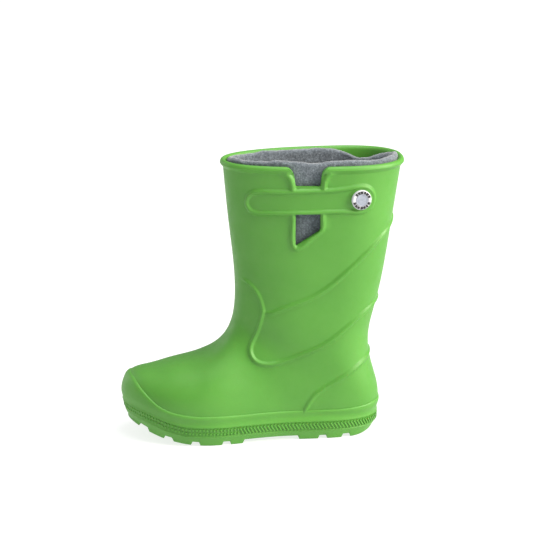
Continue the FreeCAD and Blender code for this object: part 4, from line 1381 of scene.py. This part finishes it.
@dataclass
class Liner:
    """The removable fleece sock with its thick rolled hem and its felt sole."""

    form: BootForm
    gap_depth: float = 4.6
    fleece: float = 3.0
    hem_depth: float = 5.5
    top: float = 236.5
    columns: int = 190
    near_drop: float = 2.6
    far_drop: float = 5.6
    sag: float = 7.5
    sag_in: float = 6.0
    sag_at: tuple[float, float] = (86.0, 22.0)
    sole_tuck: float = 0.5

    def rows(self) -> list[Row]:
        """The rows of the sock: up the outside, over the rolled hem and down the inside."""
        def level(z: float) -> float:
            """The turn at height z."""
            return self.form.turn_at_height(z)

        half = self.hem_depth / 2
        roll = self.top - half
        outer, inner = -self.gap_depth, -self.gap_depth - self.fleece
        found = [Row(0.0, outer)]
        for start, end, count in ((0.06, 1.0, 16), (1.0, 2.0, 9), (2.0, 3.0, 52), (3.0, level(roll), 48)):
            found += [Row(turn, outer) for turn in spread(start, end, count)]
        for i in range(13):
            angle = math.pi * i / 12
            found.append(Row(level(roll + half * math.sin(angle)), outer - half + half * math.cos(angle)))
        deep = outer - self.hem_depth
        found += [Row(level(z), deep) for z in (231.5, 229.0, 226.5, 224.0)]
        found += [Row(level(222.8), deep + 0.3), Row(level(222.1), deep + 1.0), Row(level(221.8), inner)]
        for start, end, count in ((level(220.0), 3.0, 44), (3.0, 2.0, 40), (2.0, 1.0, 7), (1.0, 0.06, 10)):
            found += [Row(turn, inner) for turn in spread(start, end, count)]
        return found + [Row(0.06, inner), Row(0.0, inner)]

    def soften(self, spots: np.ndarray, normals: np.ndarray) -> np.ndarray:
        """Gives the cloth its soft hollows, its uneven hem and the place where it has slipped down.

        Args:
            spots: the vertices' places.
            normals: their outward normals.

        Returns:
            The new places.
        """
        moved = spots.copy()
        for i, spot in enumerate(spots):
            wave = noise.noise(Vector(spot) * 0.045) * 0.9 + noise.noise(Vector(spot) * 0.16) * 0.5
            tuft = noise.noise(Vector(spot) * 0.75) * 0.22
            hem = eased(0.0, 1.0, (spot[2] - 205.0) / 18.0)
            moved[i] -= normals[i] * (0.45 + wave * 0.45 + tuft - hem)
            rise = eased(0.0, 1.0, (spot[2] - 205.0) / 28.0)
            moved[i, 2] += rise * (1.5 * noise.noise(Vector((spot[0] * 0.05, spot[1] * 0.05, 3.0)))
                                   + 0.7 * noise.noise(Vector((spot[0] * 0.16, spot[1] * 0.16, 8.0))) - 0.4)
        far = eased_all((spots[:, 1] + 14.0) / 28.0)
        drop = self.near_drop * (1 - far) + self.far_drop * far
        moved[:, 2] -= drop * eased_all((spots[:, 2] - 190.0) / 42.0)
        middle, reach = self.sag_at
        bump = np.exp(-((spots[:, 0] - middle) / reach) ** 2 * 2.2) * eased_all((spots[:, 1] + 4.0) / 16.0)
        bump = bump * eased_all((spots[:, 2] - 178.0) / 50.0)
        moved[:, 2] -= self.sag * bump
        moved[:, 1] -= self.sag_in * bump
        return moved

    def build_sock(self) -> bpy.types.Object:
        """Builds the sock."""
        skin = Skin(self.form, self.rows(), self.columns)
        skin.bm.normal_update()
        turn, angle, _, _ = skin.places()
        normals = self.form.outward(turn, angle)
        spots = coords_of(skin.bm)
        moved = self.soften(spots, normals)
        flat = eased_all((spots[:, 2] - 22.0) / 30.0)[:, None]
        under = spots - normals * self.sole_tuck
        move_to(skin.bm, under * (1 - flat) + moved * flat)
        bmesh.ops.recalc_face_normals(skin.bm, faces=skin.bm.faces)
        return new_object("fleece_sock", skin.bm)

    def build(self, wardrobe: Wardrobe) -> list[bpy.types.Object]:
        """Builds and dresses the liner.

        Args:
            wardrobe: the finishes' materials.

        Returns:
            The sock.
        """
        sock = self.build_sock()
        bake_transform(sock, "liner_top", "liner_end", start=(0.036, 0.0, 0.150), end=(0.036, 0.0, 0.075))
        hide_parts("liner_leg", "liner_cuff", "liner_foot")
        wardrobe.dress(sock, Finish.FLEECE)
        wardrobe.dress(frame["nodes"]["liner_sole"], Finish.FELT)
        return [sock]


# --- Rivet ----------------------------------------------------------------------------------------


@dataclass
class Rivet:
    """The turning rivet: an enamelled cap with a ring of printed dashes and a dull disc set in it."""

    at: tuple[float, float, float] = (76.0, -35.932, 203.45)
    axis: tuple[float, float, float] = (0.1653, -0.9857, -0.0342)
    seat: float = 0.5
    cap_radius: float = 8.2
    disc_radius: float = 5.05
    shank_radius: float = 2.5
    cap_height: float = 2.6
    dash_pitch: float = 22.0
    dash_runs: tuple[tuple[float, int], ...] = ((16.0, 6), (192.0, 7))
    dash_ring: tuple[float, float] = (5.4, 7.55)
    dash_spans: tuple[float, ...] = (18.0, 19.5, 17.0, 20.0, 18.5, 15.0, 19.0)

    def frame(self) -> Matrix:
        """The rivet's frame: Z out along its axis, with its underside at the strap's seat."""
        turn = Vector(self.axis).to_track_quat("Z", "Y").to_matrix().to_4x4()
        return Matrix.Translation(Vector(self.at)) @ turn @ Matrix.Translation((0, 0, self.seat))

    def placed(self, name: str, bm: bmesh.types.BMesh) -> bpy.types.Object:
        """Moves a bmesh from the rivet's frame to the boot's and makes its object."""
        bmesh.ops.transform(bm, matrix=self.frame(), verts=bm.verts)
        return new_object(name, bm)

    def build_cap(self) -> bpy.types.Object:
        """Builds the cap and its shank."""
        bm = bmesh.new()
        radius, top, rebate = self.cap_radius, self.cap_height, self.disc_radius
        turned_piece(bm, [(0.0, -2.9), (self.shank_radius, -2.9), (self.shank_radius, 0.1),
                          (radius - 0.3, 0.1), (radius, 0.35), (radius, 1.5), (radius - 0.15, 2.0),
                          (radius - 0.55, 2.45),
                          (radius - 1.1, top), (rebate + 0.5, top - 0.05), (rebate + 0.2, top - 0.25),
                          (rebate + 0.05, top - 0.8), (0.0, top - 0.8)], 72)
        return self.placed("rivet_button", bm)

    def build_disc(self) -> bpy.types.Object:
        """Builds the disc, dished a little, with a fine step round it."""
        bm = bmesh.new()
        radius, top = self.disc_radius, self.cap_height
        turned_piece(bm, [(0.0, top - 0.75), (radius, top - 0.75), (radius, top - 0.25),
                          (radius - 0.2, top - 0.1), (radius - 0.7, top - 0.12), (radius - 0.9, top - 0.3),
                          (2.0, top - 0.38), (0.0, top - 0.40)], 64)
        return self.placed("rivet_disc", bm)

    def build_dashes(self) -> bpy.types.Object:
        """Builds the ring of printed dashes as thin raised marks of uneven length."""
        bm = bmesh.new()
        low, high = self.cap_height - 0.2, self.cap_height + 0.06
        near, far = self.dash_ring
        for first, count in self.dash_runs:
            for number in range(count):
                corners = ((near, 0, low), (far, 0, low), (far, 0, high), (near, 0, high))
                verts = [bm.verts.new(corner) for corner in corners]
                face = bm.faces.new(verts)
                start = Matrix.Rotation(math.radians(first + number * self.dash_pitch), 3, "Z")
                bmesh.ops.rotate(bm, verts=verts, cent=(0, 0, 0), matrix=start)
                bmesh.ops.spin(bm, geom=[face], cent=(0, 0, 0), axis=(0, 0, 1),
                               angle=math.radians(self.dash_spans[number]), steps=3)
        bmesh.ops.recalc_face_normals(bm, faces=bm.faces)
        return self.placed("rivet_dashes", bm)

    def build(self, wardrobe: Wardrobe) -> list[bpy.types.Object]:
        """Builds and dresses the rivet.

        Args:
            wardrobe: the finishes' materials.

        Returns:
            The cap, the disc and the dashes.
        """
        cap, disc, dashes = self.build_cap(), self.build_disc(), self.build_dashes()
        for piece, slot, finish in ((cap, "rivet_rim", Finish.RIM), (disc, "rivet_face", Finish.FACE),
                                    (dashes, "rivet_rim", Finish.DASH)):
            sharpen(piece, 35.0)
            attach(piece, "rivet")
            wardrobe.dress(piece, finish)
        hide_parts("rivet_cap")
        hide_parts("rivet_inlay")
        wardrobe.dress(frame["nodes"]["rivet_washer"], Finish.BACK)
        return [cap, disc, dashes]


# --- Studio ---------------------------------------------------------------------------------------


@dataclass
class Studio:
    """A pale floor, soft lights and the camera."""

    target: tuple[float, float, float] = (10.7, 0.0, 132.3)
    distance: float = 2400.0
    lens: float = 192.6
    right: tuple[float, float, float] = (0.9945, -0.1045, 0.0)
    up: tuple[float, float, float] = (0.0288, 0.2741, 0.9613)
    back: tuple[float, float, float] = (-0.1005, -0.9560, 0.2756)
    floor_half: float = 12.0
    air: float = 0.45

    def build(self) -> None:
        """Builds the floor, the lights, the surroundings and the camera."""
        bm = bmesh.new()
        bmesh.ops.create_grid(bm, x_segments=4, y_segments=4, size=self.floor_half)
        floor = new_object("studio_floor", bm, 1.0)
        floor.data.materials.append(FloorFinish().material())
        self._light("key", (1.9, -0.9, 1.25), 1.3, 98.0, (1.0, 0.93, 0.84))
        self._light("top", (0.3, -0.3, 2.2), 1.2, 34.0)
        self._light("left_rim", (-1.6, 1.2, 0.8), 1.2, 9.0)
        world = bpy.data.worlds.new("studio_air")
        world.use_nodes = True
        world.node_tree.nodes["Background"].inputs["Color"].default_value = (1.0, 1.0, 1.0, 1.0)
        world.node_tree.nodes["Background"].inputs["Strength"].default_value = self.air
        bpy.context.scene.world = world
        bpy.context.scene.view_settings.view_transform = "Standard"
        lens = bpy.data.cameras.new("camera")
        lens.lens, lens.sensor_width, lens.clip_end = self.lens, 36.0, 50.0
        camera = bpy.data.objects.new("camera", lens)
        bpy.context.scene.collection.objects.link(camera)
        place = (Vector(self.target) + self.distance * Vector(self.back)) * MM
        turn = Matrix((self.right, self.up, self.back)).transposed().to_4x4()
        camera.matrix_world = Matrix.Translation(place) @ turn
        bpy.context.scene.camera = camera

    @staticmethod
    def _light(name: str, place: tuple[float, float, float], size: float, power: float,
               colour: tuple[float, float, float] = (1.0, 1.0, 1.0)) -> None:
        """Adds a square soft light that faces the middle of the boot."""
        light = bpy.data.lights.new(name, "AREA")
        light.size, light.energy, light.color = size, power, colour
        lamp = bpy.data.objects.new(name, light)
        bpy.context.scene.collection.objects.link(lamp)
        lamp.location = place
        lamp.rotation_euler = (Vector(place) - Vector((0, 0, 0.1))).to_track_quat("Z", "Y").to_euler()


def main() -> None:
    """Builds the boot round its frame and reports each piece."""
    logging.basicConfig(level=logging.INFO, format="%(name)s: %(message)s")
    form = BootForm()
    wardrobe = Wardrobe()
    Studio().build()
    for builder in (LegShell(form), Outsole(form), Liner(form), Rivet()):
        for piece in builder.build(wardrobe):
            LOG.info("%s: %d faces", piece.name, len(piece.data.polygons))


if __name__ == "__main__":
    main()
